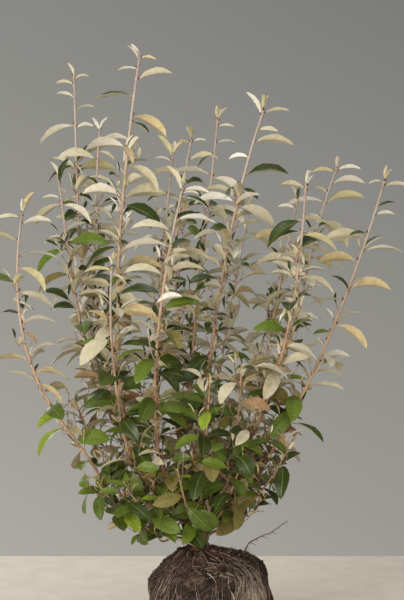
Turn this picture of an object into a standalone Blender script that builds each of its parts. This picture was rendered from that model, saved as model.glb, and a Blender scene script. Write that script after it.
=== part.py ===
"""A young elaeagnus shrub lifted with its root ball: trunk, boughs, leafy canes and low leafy shoots.

Every size is in millimetres and is turned to metres as a mesh is made. X runs to the right, Y to the back and
Z up, from the middle of the root ball's flat underside.
"""

import math
import random
from collections import namedtuple

import bmesh
import bpy
import numpy as np
from mathutils import Matrix, Vector
from mathutils.bvhtree import BVHTree

MM = 0.001
GAP = 0.3
UP = Vector((0, 0, 1))

# Root ball: a squat, lumpy ball that stands on a flat underside and carries the trunk on a flat seat. Its rings
# shift to the left above `BALL_SHIFT_HEIGHT`, and each is tipped by `BALL_TIPS`, low on the left.
BALL_RADIUS = 110
BALL_HEIGHT = 157
BALL_FOOT_RADIUS = 84
BALL_SEAT_RADIUS = 27
BALL_HEIGHTS = [0, 12, 34, 62, 92, 116, 134, 146, BALL_HEIGHT]
BALL_RADII = [BALL_FOOT_RADIUS, 97, 107, BALL_RADIUS, 107, 101, 81, 54, BALL_SEAT_RADIUS]
BALL_TIPS = [0, 0, 0, 0, 0, 3, 7, 5, 0]
BALL_SHIFT_HEIGHT = 122
BALL_SIDES = 28
BALL_LUMP = 3.5

# Trunk: a short stool that flares at its foot and swells to a round head, from which the boughs start.
TRUNK_FOOT = Vector((-23, 0, BALL_HEIGHT + GAP))
TRUNK_FLARE_RADIUS = 26
TRUNK_WAIST_RADIUS = 16
TRUNK_HEAD_RADIUS = 21
TRUNK_WAIST_HEIGHT = 15
TRUNK_HEAD_HEIGHT = 31
TRUNK_SIDES = 20
TRUNK_BUTTRESSES = 5

# Limbs: the number of sides and the spacing of the rings along them.
BOUGH_SIDES = 7
CANE_SIDES = 5
SHOOT_SIDES = 4
TWIG_SIDES = 3
BOUGH_RING_SPACING = 26
CANE_RING_SPACING = 52
SHOOT_RING_SPACING = 34
TWIG_RING_SPACING = 40

# Leaves: they stand a fixed turn apart, short and steep at the tip of a stem, long and level further down.
# Low on the shrub they hang and turn their upper face outwards; high on it they turn their underside outwards.
LEAF_TURN = math.radians(137.5)
LEAF_SPACING = 26
LEAF_SPACING_AT_TIP = 12
LEAF_WIDTH_SHARE = 0.42
STEM_FULL_AGE = 85
TWIG_FULL_AGE = 25
LEAF_STATIONS = (0.34, 0.71)
LEAF_FULLNESS = (0.98, 0.84)
LEAF_DEPTH_SHARE = 0.05
LEAF_CLEARANCE = 0.5
LEAF_FACES = [
    (0, 2, 1), (1, 2, 4), (1, 4, 3), (3, 4, 6), (0, 1, 5),
    (0, 5, 2), (5, 1, 3), (5, 4, 2), (5, 3, 6), (5, 6, 4),
]
SMALL_LEAF_SHARES = (0.37, 0.48)
RISE_AT_FOOT = -26
RISE_ALOFT = 4
RISE_AT_TIP = 60
RISE_SPREAD = 24
ROLL_SPREAD = 42
RISE_SPREAD_ALOFT = 15
ROLL_SPREAD_ALOFT = 26
OUTWARD_FACE_LOW = 1.2
OUTWARD_FACE_HIGH = -0.6
LOW_HEIGHT = 330
HIGH_HEIGHT = 850
TWIG_LENGTH = (50, 80)
TWIG_RADIUS = 1.3

# Skirt: no leaf or twig hangs below an edge that is level as far as `SKIRT_FLAT` from `SKIRT_MIDDLE` on the
# X axis and rises beyond it. It rises more slowly to the front and back than to the sides.
SKIRT_MIDDLE = -70
SKIRT_EDGE = 173
SKIRT_FLAT = 80
SKIRT_SLOPE = 0.6
SKIRT_DEPTH_SHARE = 0.6

Bough = namedtuple("Bough", "name tip_radius lean rise tip")
Cane = namedtuple("Cane", "name bough radius turn twigs lean rise tip crown")
Shoot = namedtuple("Shoot", "name height turn lean rise tip")
Leaf = namedtuple("Leaf", "root along face length arch")

# Each bough leaves the trunk's head towards `lean`, comes up through `rise` and ends at `tip`.
BOUGHS = [
    Bough("far_left", 3.6, (-105, -8, 182), (-170, -15, 205), (-192, -20, 279)),
    Bough("left", 4.6, (-64, -24, 232), (-128, -40, 282), (-145, -45, 344)),
    Bough("left_back", 4.2, (-75, 34, 240), (-132, 48, 289), (-159, 50, 350)),
    Bough("front", 4.2, (-38, -50, 226), (-78, -64, 280), (-94, -62, 343)),
    Bough("back", 3.8, (-25, 46, 236), (-13, 72, 285), (-16, 76, 335)),
    Bough("middle", 4.0, (-24, -2, 232), (-30, 0, 262), (-25, 0, 306)),
    Bough("right", 4.8, (14, 8, 226), (38, 9, 296), (80, 10, 376)),
    Bough("far_right", 3.4, (28, -34, 206), (70, -26, 262), (102, -20, 323)),
]

# Each cane goes on from its bough's tip through `lean` and `rise` to `tip`, where its highest leaves stand.
# `crown` notes the open leaves near the tip: a side (l left, r right, f front, b back; a capital is a full-grown
# leaf), the distance below the tip, and marks: ^ for a rising leaf, v for a hanging one, + for one that turns its
# upper face to the front.
CANES = [
    Cane("outer_left", "far_left", 2.7, 0.4, 2, (-247, -20, 380), (-383, -20, 456), (-337, -20, 763),
         "f2^ R8^ L10+ R22 L52 R80 R98v L128+ R142+v r160v l182+ R200 r214v R237+ L266 R290 R312v R330+v"),
    Cane("left", "left_back", 2.6, 2.0, 1, (-252, 54, 506), (-259, 60, 680), (-281, 60, 836),
         "l2^ r4^ R18^+ l45 L53v R55v R130+ L136+v L162 L185+v R200"),
    Cane("left_tall", "left_back", 2.6, 0.9, 0, (-258, 122, 546), (-253, 177, 826), (-262, 180, 1036),
         "l4^ r3^ r9 l20 l45 r68 L98v r104 l150v L175+v R184 R220+ l236v l252+"),
    Cane("left_rear", "left_back", 2.4, 3.6, 1, (-230, 92, 463), (-223, 119, 715), (-208, 120, 926),
         "r3^ l6^ R24 r42+v L60+ l115 r119 R160 L170+v R177+v"),
    Cane("tallest", "left", 3.6, 2.6, 1, (-184, -70, 533), (-149, -89, 862), (-124, -90, 1030),
         "r3 l2^ l22 R41 L70+ R103v r115+v L158 R187v L245 R249 R259+v r313 L330+v L352+v R372"),
    Cane("left_short", "left", 2.4, 0.2, 1, (-162, -103, 450), (-176, -148, 556), (-169, -150, 668),
         "f2^ r4^ L9 r14+v"),
    Cane("front", "front", 2.9, 4.2, 1, (-97, -132, 469), (-84, -187, 650), (-48, -190, 797),
         "L3^ f1^ R5 r9 R14+v R54 R64+ L76+ L100 R112 R148 L152+ L184+ R190 R212+ L226"),
    Cane("centre_left", "front", 2.5, 1.5, 1, (-88, -8, 505), (-86, 22, 713), (-69, 24, 872),
         "l2^ r3^ L9^ l15 r38+v l75+ r80+v"),
    Cane("rear_left", "back", 2.6, 5.0, 0, (-82, 160, 560), (-91, 227, 645), (-36, 230, 916),
         "f1^ r5 l8 R42 L66"),
    Cane("centre", "middle", 2.7, 3.1, 1, (-78, 33, 399), (2, 59, 795), (13, 60, 937),
         "f1^ r4^ r14+ r45 l66+v L103 R106v R162v"),
    Cane("right_tall", "middle", 2.9, 5.6, 1, (2, -33, 536), (26, -59, 749), (93, -60, 942),
         "f1^ r3^ R8 L13^ r38+ R60 l88 R122+ l140+v r144+v L150 L170 R176+v"),
    Cane("rear_right", "back", 2.4, 2.2, 1, (30, 143, 454), (53, 207, 668), (77, 210, 784),
         "r1^ r6 l11 R50v R72+"),
    Cane("right_front", "right", 2.8, 0.7, 1, (137, -76, 511), (153, -137, 675), (161, -140, 805),
         "f1^ r3^ r12^ L6 l12v L60+v L80+v R85v"),
    Cane("right_low", "right", 2.4, 4.6, 1, (100, 44, 600), (128, 62, 650), (161, 60, 790),
         "l2^ r3^ l18 R44 L74"),
    Cane("right_rear", "right", 2.6, 3.9, 1, (166, 86, 530), (183, 138, 714), (240, 140, 853),
         "f1^ R5 L8 R32 l50 L68 R72 R105v R156+v"),
    Cane("outer_right", "far_right", 2.8, 1.1, 2, (195, -20, 470), (268, -20, 672), (310, -20, 820),
         "f1^ l4+ R11 r50+ r66 l100+ L108 R133+ L152 R204 L228 R272v l288+ L304v R346 L354+ R394+ L412+"),
]
CANE_TIP_RADIUS = 1.9
CANE_LEAF = 66

# Each low shoot leaves the trunk at `height` above its foot, and fills the skirt of the shrub.
SHOOTS = [
    Shoot("front_low", 24, 0.5, (-34, -64, 212), (-44, -112, 248), (-58, -150, 322)),
    Shoot("front_left_low", 18, 2.1, (-72, -66, 202), (-114, -110, 224), (-150, -136, 298)),
    Shoot("front_right_low", 22, 3.9, (8, -60, 210), (36, -112, 262), (54, -136, 346)),
    Shoot("front_high", 34, 1.2, (-18, -50, 232), (-10, -122, 330), (-2, -140, 480)),
    Shoot("left_low", 12, 5.2, (-90, -34, 184), (-150, -72, 212), (-200, -86, 292)),
    Shoot("left_high", 36, 0.9, (-96, -36, 230), (-176, -90, 300), (-222, -100, 430)),
    Shoot("right_low", 16, 4.4, (40, -30, 208), (100, -70, 268), (138, -84, 356)),
    Shoot("right_high", 30, 2.9, (30, -44, 230), (56, -100, 330), (64, -106, 498)),
    Shoot("right_mid", 26, 3.4, (46, 14, 218), (96, 44, 282), (116, 56, 366)),
    Shoot("rear_left_low", 14, 1.8, (-76, 50, 192), (-134, 104, 220), (-172, 128, 310)),
    Shoot("rear_left_high", 36, 4.8, (-66, 66, 240), (-118, 152, 330), (-142, 172, 470)),
    Shoot("rear_low", 16, 0.3, (-20, 64, 198), (-6, 134, 236), (-16, 166, 330)),
    Shoot("rear_right_low", 20, 2.5, (28, 50, 212), (76, 104, 268), (104, 128, 358)),
    Shoot("rear_right_high", 34, 5.7, (20, 64, 236), (70, 138, 330), (92, 156, 470)),
]
SHOOT_RADIUS = 2.4
SHOOT_TIP_RADIUS = 1.2
SHOOT_LEAF = 70
SHOOT_TWIGS = 1

# Stray root: one thin root that stands out of the top of the ball, with a few finer ones along it.
STRAY_ROOT_FOOT = (60, 8)
STRAY_ROOT = [(70, 7, 166), (92, 5, 178), (110, 4, 186), (132, 4, 202), (140, 4, 206)]
STRAY_ROOT_RADII = [1.8, 1.6, 1.3, 1.0, 0.9, 0.8, 0.5]
ROOTLETS = [((70, 7, 166), (82, 9, 161)), ((92, 5, 178), (104, 2, 174)), ((110, 4, 186), (119, 6, 182))]
ROOTLET_RADII = [0.8, 0.5]


def smooth(share):
    """0 to 1 with level ends, as the share goes from 0 to 1."""
    share = min(1.0, max(0.0, share))
    return share * share * (3 - 2 * share)


def mix(a, b, share):
    return a + (b - a) * share


def seed_of(name):
    """The same number each run for the same name."""
    return sum((i + 1) * ord(letter) for i, letter in enumerate(name))


class Limb:
    """A tapering limb along a cubic curve, kept as a line of rings set the same distance apart."""

    SAMPLES = 64

    def __init__(self, points, radii, sides, spacing, foot_normal=None):
        a, b, c, d = (np.array(p, float) for p in points)
        t = np.linspace(0, 1, self.SAMPLES)[:, None]
        curve = (1 - t) ** 3 * a + 3 * (1 - t) ** 2 * t * b + 3 * (1 - t) * t**2 * c + t**3 * d
        reach = np.concatenate([[0], np.cumsum(np.linalg.norm(np.diff(curve, axis=0), axis=1))])
        rings = max(3, round(reach[-1] / spacing) + 1)
        stops = np.linspace(0, reach[-1], rings)
        self.line = np.stack([np.interp(stops, reach, curve[:, axis]) for axis in range(3)], axis=1)
        steps = np.linalg.norm(np.diff(self.line, axis=0), axis=1)
        self.reach = np.concatenate([[0], np.cumsum(steps)])
        self.length = float(self.reach[-1])
        self.radii = radii
        self.sides = sides
        self.foot_normal = foot_normal

    def place(self, distance):
        return Vector([float(np.interp(distance, self.reach, self.line[:, axis])) for axis in range(3)])

    def direction(self, distance):
        step = self.length / 10
        ahead = self.place(min(distance + step, self.length))
        return (ahead - self.place(max(distance - step, 0))).normalized()

    def end_direction(self):
        return Vector(self.line[-1] - self.line[-2]).normalized()

    def shape(self):
        places = [Vector(place) for place in self.line]
        radii = [mix(*self.radii, distance / self.length) for distance in self.reach]
        return tube(places, radii, self.sides, self.foot_normal)


def tube(places, radii, sides, foot_normal=None):
    """A closed tube round a line of places: (points, faces), with a flat cap at each end."""
    points, faces = [], []
    count = len(places)
    side = None
    for i, (place, radius) in enumerate(zip(places, radii)):
        along = (places[min(i + 1, count - 1)] - places[max(i - 1, 0)]).normalized()
        if i == 0 and foot_normal is not None:
            along = foot_normal
        if side is None:
            side = along.orthogonal()
        side = (side - along * side.dot(along)).normalized()
        across = along.cross(side)
        for k in range(sides):
            turn = 2 * math.pi * k / sides
            points.append(place + (side * math.cos(turn) + across * math.sin(turn)) * radius)
    for i in range(count - 1):
        for k in range(sides):
            a, b = i * sides + k, i * sides + (k + 1) % sides
            faces.append((a, b, b + sides, a + sides))
    faces.append(tuple(reversed(range(sides))))
    faces.append(tuple(range((count - 1) * sides, count * sides)))
    return points, faces


def leaf_shape(leaf, extra=0.0):
    """An arched blade of ten faces: a base point, two widths, a keel under the first, and a tip.

    `extra` fattens it, for a test of the room round it.
    """
    across = leaf.along.cross(leaf.face).normalized()
    crown = leaf.length * leaf.arch / 8
    points = [leaf.root - leaf.along * extra]
    for share, fullness in zip(LEAF_STATIONS, LEAF_FULLNESS):
        rise = leaf.face * (4 * share * (1 - share) * crown + extra)
        middle = leaf.root + leaf.along * leaf.length * share + rise
        half = across * (leaf.length * LEAF_WIDTH_SHARE / 2 * fullness + extra)
        points += [middle - half, middle + half]
    depth = leaf.length * LEAF_DEPTH_SHARE + 2 * extra
    points.append(points[1] + (points[2] - points[1]) / 2 - leaf.face * depth)
    points.append(leaf.root + leaf.along * (leaf.length + extra))
    return points, LEAF_FACES


class Space:
    """What is already in place, so that a twig or leaf that would touch another piece can be left out."""

    def __init__(self):
        self.taken = []

    def add(self, owner, shape):
        points, faces = shape
        corners = np.array(points, float)
        self.taken.append((owner, corners.min(0), corners.max(0), BVHTree.FromPolygons(points, faces)))

    def is_clear(self, shape, owner):
        """True if the shape meets nothing but its owner's own stem and twigs."""
        points, faces = shape
        corners = np.array(points, float)
        low, high = corners.min(0), corners.max(0)
        tree = None
        for other, other_low, other_high, other_tree in self.taken:
            if other == owner or (low > other_high).any() or (high < other_low).any():
                continue
            tree = tree or BVHTree.FromPolygons(points, faces)
            if tree.overlap(other_tree):
                return False
        return True


def above_skirt(points):
    """True if all the points lie above the skirt's lower edge."""
    places = np.array(points, float)
    reach = np.hypot(places[:, 0] - SKIRT_MIDDLE, places[:, 1] * SKIRT_DEPTH_SHARE)
    return bool((places[:, 2] > SKIRT_EDGE + SKIRT_SLOPE * np.maximum(0, reach - SKIRT_FLAT)).all())


def face_of(along, place, roll):
    """The upper face of a leaf: up, turned outwards from the shrub's middle when low and inwards when high."""
    outward = Vector((place.x - TRUNK_FOOT.x, place.y - TRUNK_FOOT.y, 0))
    outward = outward.normalized() if outward.length > 1 else Vector((0, -1, 0))
    high = smooth((place.z - LOW_HEIGHT) / (HIGH_HEIGHT - LOW_HEIGHT))
    face = UP + outward * mix(OUTWARD_FACE_LOW, OUTWARD_FACE_HIGH, high)
    face = (face - along * face.dot(along)).normalized()
    return Matrix.Rotation(roll, 3, along) @ face


def leaf_by_rule(limb, distance, turn, full_length, full_age, draw):
    """A leaf by its age, which is its distance from the tip, and by its height on the shrub."""
    age = smooth((limb.length - distance) / full_age)
    root = limb.place(distance)
    high = smooth((root.z - LOW_HEIGHT) / (HIGH_HEIGHT - LOW_HEIGHT))
    along_stem = limb.direction(distance)
    side = (UP.cross(along_stem)).normalized() if abs(along_stem.z) < 0.99 else Vector((1, 0, 0))
    outward = Matrix.Rotation(turn, 3, along_stem) @ side
    length = full_length * mix(0.32, mix(1.06, 0.94, high), age) * draw.uniform(0.86, 1.08)
    rise = mix(RISE_AT_TIP, mix(RISE_AT_FOOT, RISE_ALOFT, high), age)
    rise += draw.uniform(-1, 1) * mix(RISE_SPREAD, RISE_SPREAD_ALOFT, high)
    level = Vector((outward.x, outward.y, outward.z * 0.3)).normalized()
    along = (level * math.cos(math.radians(rise)) + UP * math.sin(math.radians(rise))).normalized()
    roll = draw.uniform(-1, 1) * mix(ROLL_SPREAD, ROLL_SPREAD_ALOFT, high)
    face = face_of(along, root, math.radians(roll))
    return Leaf(root, along, face, length, mix(0.3, 0.9, age))


def leaf_by_note(limb, note, full_length, draw):
    """A leaf of the open crown from its note: side, distance below the tip, and marks."""
    below = float(note.strip("lrfbLRFB^v+"))
    root = limb.place(max(limb.length - below, 0))
    bearing = {"r": 0, "b": 90, "l": 180, "f": 270}[note[0].lower()] + draw.uniform(-22, 22)
    rise = draw.uniform(-8, 12)
    if "^" in note:
        rise = draw.uniform(52, 72)
    if "v" in note:
        rise = draw.uniform(-40, -24)
    length = full_length * draw.uniform(0.92, 1.04) * mix(0.62, 1.0, smooth(below / 70))
    if note[0].islower():
        length = full_length * mix(*SMALL_LEAF_SHARES, smooth(below / 30))
    level = Vector((math.cos(math.radians(bearing)), math.sin(math.radians(bearing)), 0))
    along = level * math.cos(math.radians(rise)) + UP * math.sin(math.radians(rise))
    face = UP + Vector((0, -0.85 if "+" in note else 0.85, 0))
    face = (face - along * face.dot(along)).normalized()
    return Leaf(root, along, face, length, 0.7)


def grow_leaves(limb, owner, space, draw, turn, first, full_length, full_age, notes=()):
    """The shapes of the leaves along one stem or twig: the noted ones, then by rule from below them to `first`.

    One that would touch another piece is turned, and left out if it still would.
    """
    shapes = []

    def keep(leaf):
        shape = leaf_shape(leaf)
        if not above_skirt(shape[0]):
            return False
        if not all(space.is_clear(each, owner) for each in (shape, leaf_shape(leaf, LEAF_CLEARANCE))):
            return False
        shapes.append(shape)
        space.add(owner + "_leaf", shape)
        return True

    for note in notes:
        for _ in range(4):
            if keep(leaf_by_note(limb, note, full_length, draw)):
                break
    below = float(notes[-1].strip("lrfbLRFB^v+")) + LEAF_SPACING if notes else 2
    while below < limb.length - first:
        for attempt in range(5):
            if keep(leaf_by_rule(limb, limb.length - below, turn + attempt * 0.8, full_length, full_age, draw)):
                break
        age = smooth(below / full_age)
        below += mix(LEAF_SPACING_AT_TIP, LEAF_SPACING, age) * draw.uniform(0.85, 1.15)
        turn += LEAF_TURN + draw.uniform(-0.25, 0.25)
    return shapes


def twig_from(limb, distance, turn, draw):
    """A side twig that leaves its stem at a slant and curves up."""
    along = limb.direction(distance)
    side = (UP.cross(along)).normalized() if abs(along.z) < 0.99 else Vector((1, 0, 0))
    outward = Matrix.Rotation(turn, 3, along) @ side
    length = draw.uniform(*TWIG_LENGTH)
    foot = limb.place(distance)
    lean = foot + (outward + along * 0.7).normalized() * length * 0.45
    tip = foot + (outward * 0.75 + along * 0.4 + UP * 0.75).normalized() * length
    radii = (TWIG_RADIUS, TWIG_RADIUS * 0.7)
    return Limb([foot, lean, mix(lean, tip, 0.5), tip], radii, TWIG_SIDES, TWIG_RING_SPACING)


def grow_twigs(limb, owner, space, draw, turn, count):
    """Side twigs on the lower third of a stem, each clear of every other piece."""
    twigs = []
    for i in range(count):
        distance = limb.length * mix(0.06, 0.36, (i + draw.random()) / count)
        for attempt in range(5):
            twig = twig_from(limb, distance, turn + attempt * 1.25, draw)
            if above_skirt(twig.line) and space.is_clear(twig.shape(), owner):
                twigs.append(twig)
                space.add(owner, twig.shape())
                break
        turn += LEAF_TURN
    return twigs


def new_object(name, shape, material):
    points, faces = shape
    mesh = bpy.data.meshes.new(name)
    mesh.from_pydata([Vector(p) * MM for p in points], [], faces)
    mesh.update()
    mesh.materials.append(material)
    obj = bpy.data.objects.new(name, mesh)
    bpy.context.scene.collection.objects.link(obj)
    return obj


def fused(name, core, others, material):
    """One object: the core shape joined with all the others by one Boolean union."""
    obj = new_object(name, core, material)
    if not others:
        return obj
    group = bpy.data.collections.new(name + "_parts")
    bpy.context.scene.collection.children.link(group)
    for i, shape in enumerate(others):
        piece = new_object(f"{name}_part_{i}", shape, material)
        bpy.context.scene.collection.objects.unlink(piece)
        group.objects.link(piece)
    union = obj.modifiers.new("fuse", "BOOLEAN")
    union.operation = "UNION"
    union.operand_type = "COLLECTION"
    union.collection = group
    union.solver = "EXACT"
    graph = bpy.context.evaluated_depsgraph_get()
    joined = bpy.data.meshes.new_from_object(obj.evaluated_get(graph))
    obj.modifiers.clear()
    obj.data = joined
    for piece in list(group.objects):
        bpy.data.objects.remove(piece)
    bpy.data.collections.remove(group)
    return obj


def finish_of(name, colour, roughness):
    """A plain Principled material with the piece's own colour and roughness."""
    material = bpy.data.materials.new(name)
    material.use_nodes = True
    shader = material.node_tree.nodes["Principled BSDF"]
    shader.inputs["Base Color"].default_value = (*colour, 1)
    shader.inputs["Roughness"].default_value = roughness
    shader.inputs["Metallic"].default_value = 0
    return material


def turned(profile, sides, centre, swell):
    """A solid turned round a vertical axis from (radius, height) pairs; swell(turn, height) scales the radius."""
    points, faces = [], []
    for radius, height in profile:
        for k in range(sides):
            turn = 2 * math.pi * k / sides
            reach = radius * swell(turn, height)
            points.append(centre + Vector((reach * math.cos(turn), reach * math.sin(turn), height)))
    for i in range(len(profile) - 1):
        for k in range(sides):
            a, b = i * sides + k, i * sides + (k + 1) % sides
            faces.append((a, b, b + sides, a + sides))
    faces.append(tuple(reversed(range(sides))))
    faces.append(tuple(range((len(profile) - 1) * sides, len(profile) * sides)))
    return points, faces


def ball_shape():
    """The root ball: a squat ball, flat underneath, whose top draws in to the seat under the trunk."""
    profile = list(zip(BALL_RADII, BALL_HEIGHTS))
    points, faces = turned(profile, BALL_SIDES, Vector((0, 0, 0)), lambda turn, height: 1)
    shaped = []
    for i, point in enumerate(points):
        level = i // BALL_SIDES
        share = smooth((point.z - BALL_SHIFT_HEIGHT) / (BALL_HEIGHT - BALL_SHIFT_HEIGHT))
        shift = Vector((TRUNK_FOOT.x, TRUNK_FOOT.y, 0)) * share
        tip = UP * BALL_TIPS[level] * point.x / BALL_RADII[level]
        lump = 0
        if 0 < level < len(BALL_HEIGHTS) - 1:
            turn = math.atan2(point.y, point.x)
            lump = BALL_LUMP * (math.sin(3 * turn + 0.05 * point.z) + 0.6 * math.sin(7 * turn - 0.08 * point.z))
        outward = Vector((point.x, point.y, 0)).normalized()
        shaped.append(point + shift + tip + outward * lump * min(1, level / 2))
    return shaped, faces


def trunk_shape():
    """The trunk: a buttressed flare, a waist and a round head."""
    profile = [(TRUNK_FLARE_RADIUS, 0), (TRUNK_FLARE_RADIUS * 0.8, 5), (TRUNK_WAIST_RADIUS, TRUNK_WAIST_HEIGHT)]
    steps = 7
    for i in range(steps):
        turn = math.radians(mix(-38, 80, i / (steps - 1)))
        height = TRUNK_HEAD_HEIGHT + TRUNK_HEAD_RADIUS * math.sin(turn)
        profile.append((TRUNK_HEAD_RADIUS * math.cos(turn), height))

    def swell(turn, height):
        flare = 1 - smooth(height / TRUNK_WAIST_HEIGHT)
        return 1 + 0.16 * flare * math.cos(TRUNK_BUTTRESSES * turn)

    return turned(profile, TRUNK_SIDES, TRUNK_FOOT, swell)


def clearance(tree, point):
    """How far the point lies outside the solid, negative inside it."""
    nearest, normal, _, distance = tree.find_nearest(point)
    return distance if (point - nearest).dot(normal) > 0 else -distance


def socket(trunk_tree, start, towards, radius):
    """Where a limb of this radius starts: the first place on the way out that is just clear of the trunk."""
    along = (towards - start).normalized()
    side = along.orthogonal().normalized()
    spokes = [Matrix.Rotation(math.radians(30 * i), 3, along) @ side for i in range(12)]
    cap = [spoke * radius * share for spoke in spokes for share in (0, 0.35, 0.7, 1)]
    distance = trunk_tree.ray_cast(start, along)[3] - radius
    while min(clearance(trunk_tree, start + along * distance + place) for place in cap) < GAP:
        distance += 0.05
    return start + along * distance, along


def build_boughs(trunk_tree):
    head = TRUNK_FOOT + UP * TRUNK_HEAD_HEIGHT
    limbs = {}
    for bough in BOUGHS:
        radii = (bough.tip_radius * 1.15, bough.tip_radius)
        foot, along = socket(trunk_tree, head, Vector(bough.lean), radii[0])
        points = [foot, bough.lean, bough.rise, bough.tip]
        limbs[bough.name] = Limb(points, radii, BOUGH_SIDES, BOUGH_RING_SPACING, along)
    return limbs


def side_by_side(along, canes):
    """The offsets of canes that share a bough's tip: evenly round it, each on the side that it leans to."""
    if len(canes) == 1:
        return {canes[0].name: Vector((0, 0, 0))}
    first = along.orthogonal().normalized()
    second = along.cross(first)
    middle = sum((Vector(cane.rise) for cane in canes), Vector((0, 0, 0))) / len(canes)

    def bearing(cane):
        lean = Vector(cane.rise) - middle
        return math.atan2(lean.dot(second), lean.dot(first))

    step = 2 * math.pi / len(canes)
    order = sorted(canes, key=bearing)
    errors = [bearing(cane) - i * step for i, cane in enumerate(order)]
    start = math.atan2(sum(math.sin(e) for e in errors), sum(math.cos(e) for e in errors))
    spread = (max(cane.radius for cane in canes) + GAP) / math.sin(math.pi / len(canes))
    places = {}
    for i, cane in enumerate(order):
        turn = start + i * step
        places[cane.name] = (first * math.cos(turn) + second * math.sin(turn)) * spread
    return places


def build_cane_stems(boughs):
    """The stems of the canes, each from the tip of its bough."""
    stems = {}
    for name, bough in boughs.items():
        sharing = [cane for cane in CANES if cane.bough == name]
        end, along = bough.place(bough.length), bough.end_direction()
        offsets = side_by_side(along, sharing)
        for cane in sharing:
            foot = end + along * GAP + offsets[cane.name]
            lean = mix(foot + along * (Vector(cane.lean) - foot).length, Vector(cane.lean), 0.75)
            points = [foot, lean, cane.rise, cane.tip]
            radii = (cane.radius, CANE_TIP_RADIUS)
            stems[cane.name] = Limb(points, radii, CANE_SIDES, CANE_RING_SPACING, along)
    return stems


def shoot_stem(shoot, swing, trunk_tree):
    """The stem of a low shoot, swung round the trunk by this angle."""
    start = TRUNK_FOOT + UP * shoot.height
    about = Matrix.Rotation(swing, 3, UP)
    lean, rise, tip = (start + about @ (Vector(p) - start) for p in (shoot.lean, shoot.rise, shoot.tip))
    foot, along = socket(trunk_tree, start, lean, SHOOT_RADIUS)
    radii = (SHOOT_RADIUS, SHOOT_TIP_RADIUS)
    return Limb([foot, lean, rise, tip], radii, SHOOT_SIDES, SHOOT_RING_SPACING, along)


def build_shoot_stems(trunk_tree, space):
    """The stems of the low shoots, each swung round the trunk until it is clear of all the other stems."""
    stems = {}
    for shoot in SHOOTS:
        for i in range(24):
            swing = math.radians(6) * ((i + 1) // 2) * (-1) ** i
            stem = shoot_stem(shoot, swing, trunk_tree)
            if space.is_clear(stem.shape(), shoot.name):
                stems[shoot.name] = stem
                space.add("shoot_" + shoot.name, stem.shape())
                break
    return stems


def build_mass(name, stem, space, turn, twigs, leaf_length, material, notes=()):
    """One mass of foliage: a stem, its side twigs and every leaf on them, fused to one solid."""
    draw = random.Random(seed_of(name))
    parts = []
    for twig in grow_twigs(stem, name, space, draw, turn, twigs):
        parts.append(twig.shape())
        parts += grow_leaves(twig, name, space, draw, turn + 1, twig.length * 0.3, leaf_length, TWIG_FULL_AGE)
    parts += grow_leaves(stem, name, space, draw, turn, stem.length * 0.08, leaf_length, STEM_FULL_AGE, notes)
    return fused(name, stem.shape(), parts, material)


def stray_root_parts(ball_tree):
    """The stray root and its side roots. Its foot lies flat on the ball's own slope, just clear of it."""
    hit, normal, _, _ = ball_tree.ray_cast(Vector((*STRAY_ROOT_FOOT, 300)), -UP)
    places = [hit + normal * GAP, hit + normal * 6] + [Vector(p) for p in STRAY_ROOT]
    root = tube(places, STRAY_ROOT_RADII, CANE_SIDES, normal)
    side_roots = [tube([Vector(a), Vector(b)], ROOTLET_RADII, TWIG_SIDES) for a, b in ROOTLETS]
    return root, side_roots


def main():
    for obj in list(bpy.data.objects):
        bpy.data.objects.remove(obj)
    soil = finish_of("matted_soil", (0.07, 0.045, 0.03), 0.95)
    old_bark = finish_of("old_bark", (0.16, 0.09, 0.055), 0.8)
    silver_leaf = finish_of("silver_leaf", (0.42, 0.40, 0.24), 0.55)
    green_leaf = finish_of("green_leaf", (0.07, 0.16, 0.03), 0.4)
    space = Space()

    ball = ball_shape()
    trunk = trunk_shape()
    root, side_roots = stray_root_parts(BVHTree.FromPolygons(*ball))
    new_object("root_ball", ball, soil)
    new_object("trunk", trunk, old_bark)
    fused("stray_root", root, side_roots, old_bark)
    for name, shape in (("root_ball", ball), ("trunk", trunk), ("stray_root", root)):
        space.add(name, shape)

    trunk_tree = BVHTree.FromPolygons(*trunk)
    boughs = build_boughs(trunk_tree)
    for name, limb in boughs.items():
        new_object("bough_" + name, limb.shape(), old_bark)
        space.add("bough_" + name, limb.shape())

    cane_stems = build_cane_stems(boughs)
    for name, stem in cane_stems.items():
        space.add("cane_" + name, stem.shape())
    shoot_stems = build_shoot_stems(trunk_tree, space)
    for cane in CANES:
        stem = cane_stems[cane.name]
        notes = cane.crown.split()
        build_mass("cane_" + cane.name, stem, space, cane.turn, cane.twigs, CANE_LEAF, silver_leaf, notes)
    for shoot in SHOOTS:
        stem = shoot_stems[shoot.name]
        build_mass("shoot_" + shoot.name, stem, space, shoot.turn, SHOOT_TWIGS, SHOOT_LEAF, green_leaf)


main()
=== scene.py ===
"""Looks of a young elaeagnus shrub lifted with its root ball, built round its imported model.

The rule of growth is worked out in millimetres, as in the model's own source, and each mesh is made in
metres. X runs to the right, Y to the back and Z up, from the middle of the root ball's flat underside.
"""

import math
import random
from collections import namedtuple

import bpy
import numpy as np
from mathutils import Matrix, Vector
from mathutils.bvhtree import BVHTree


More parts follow.
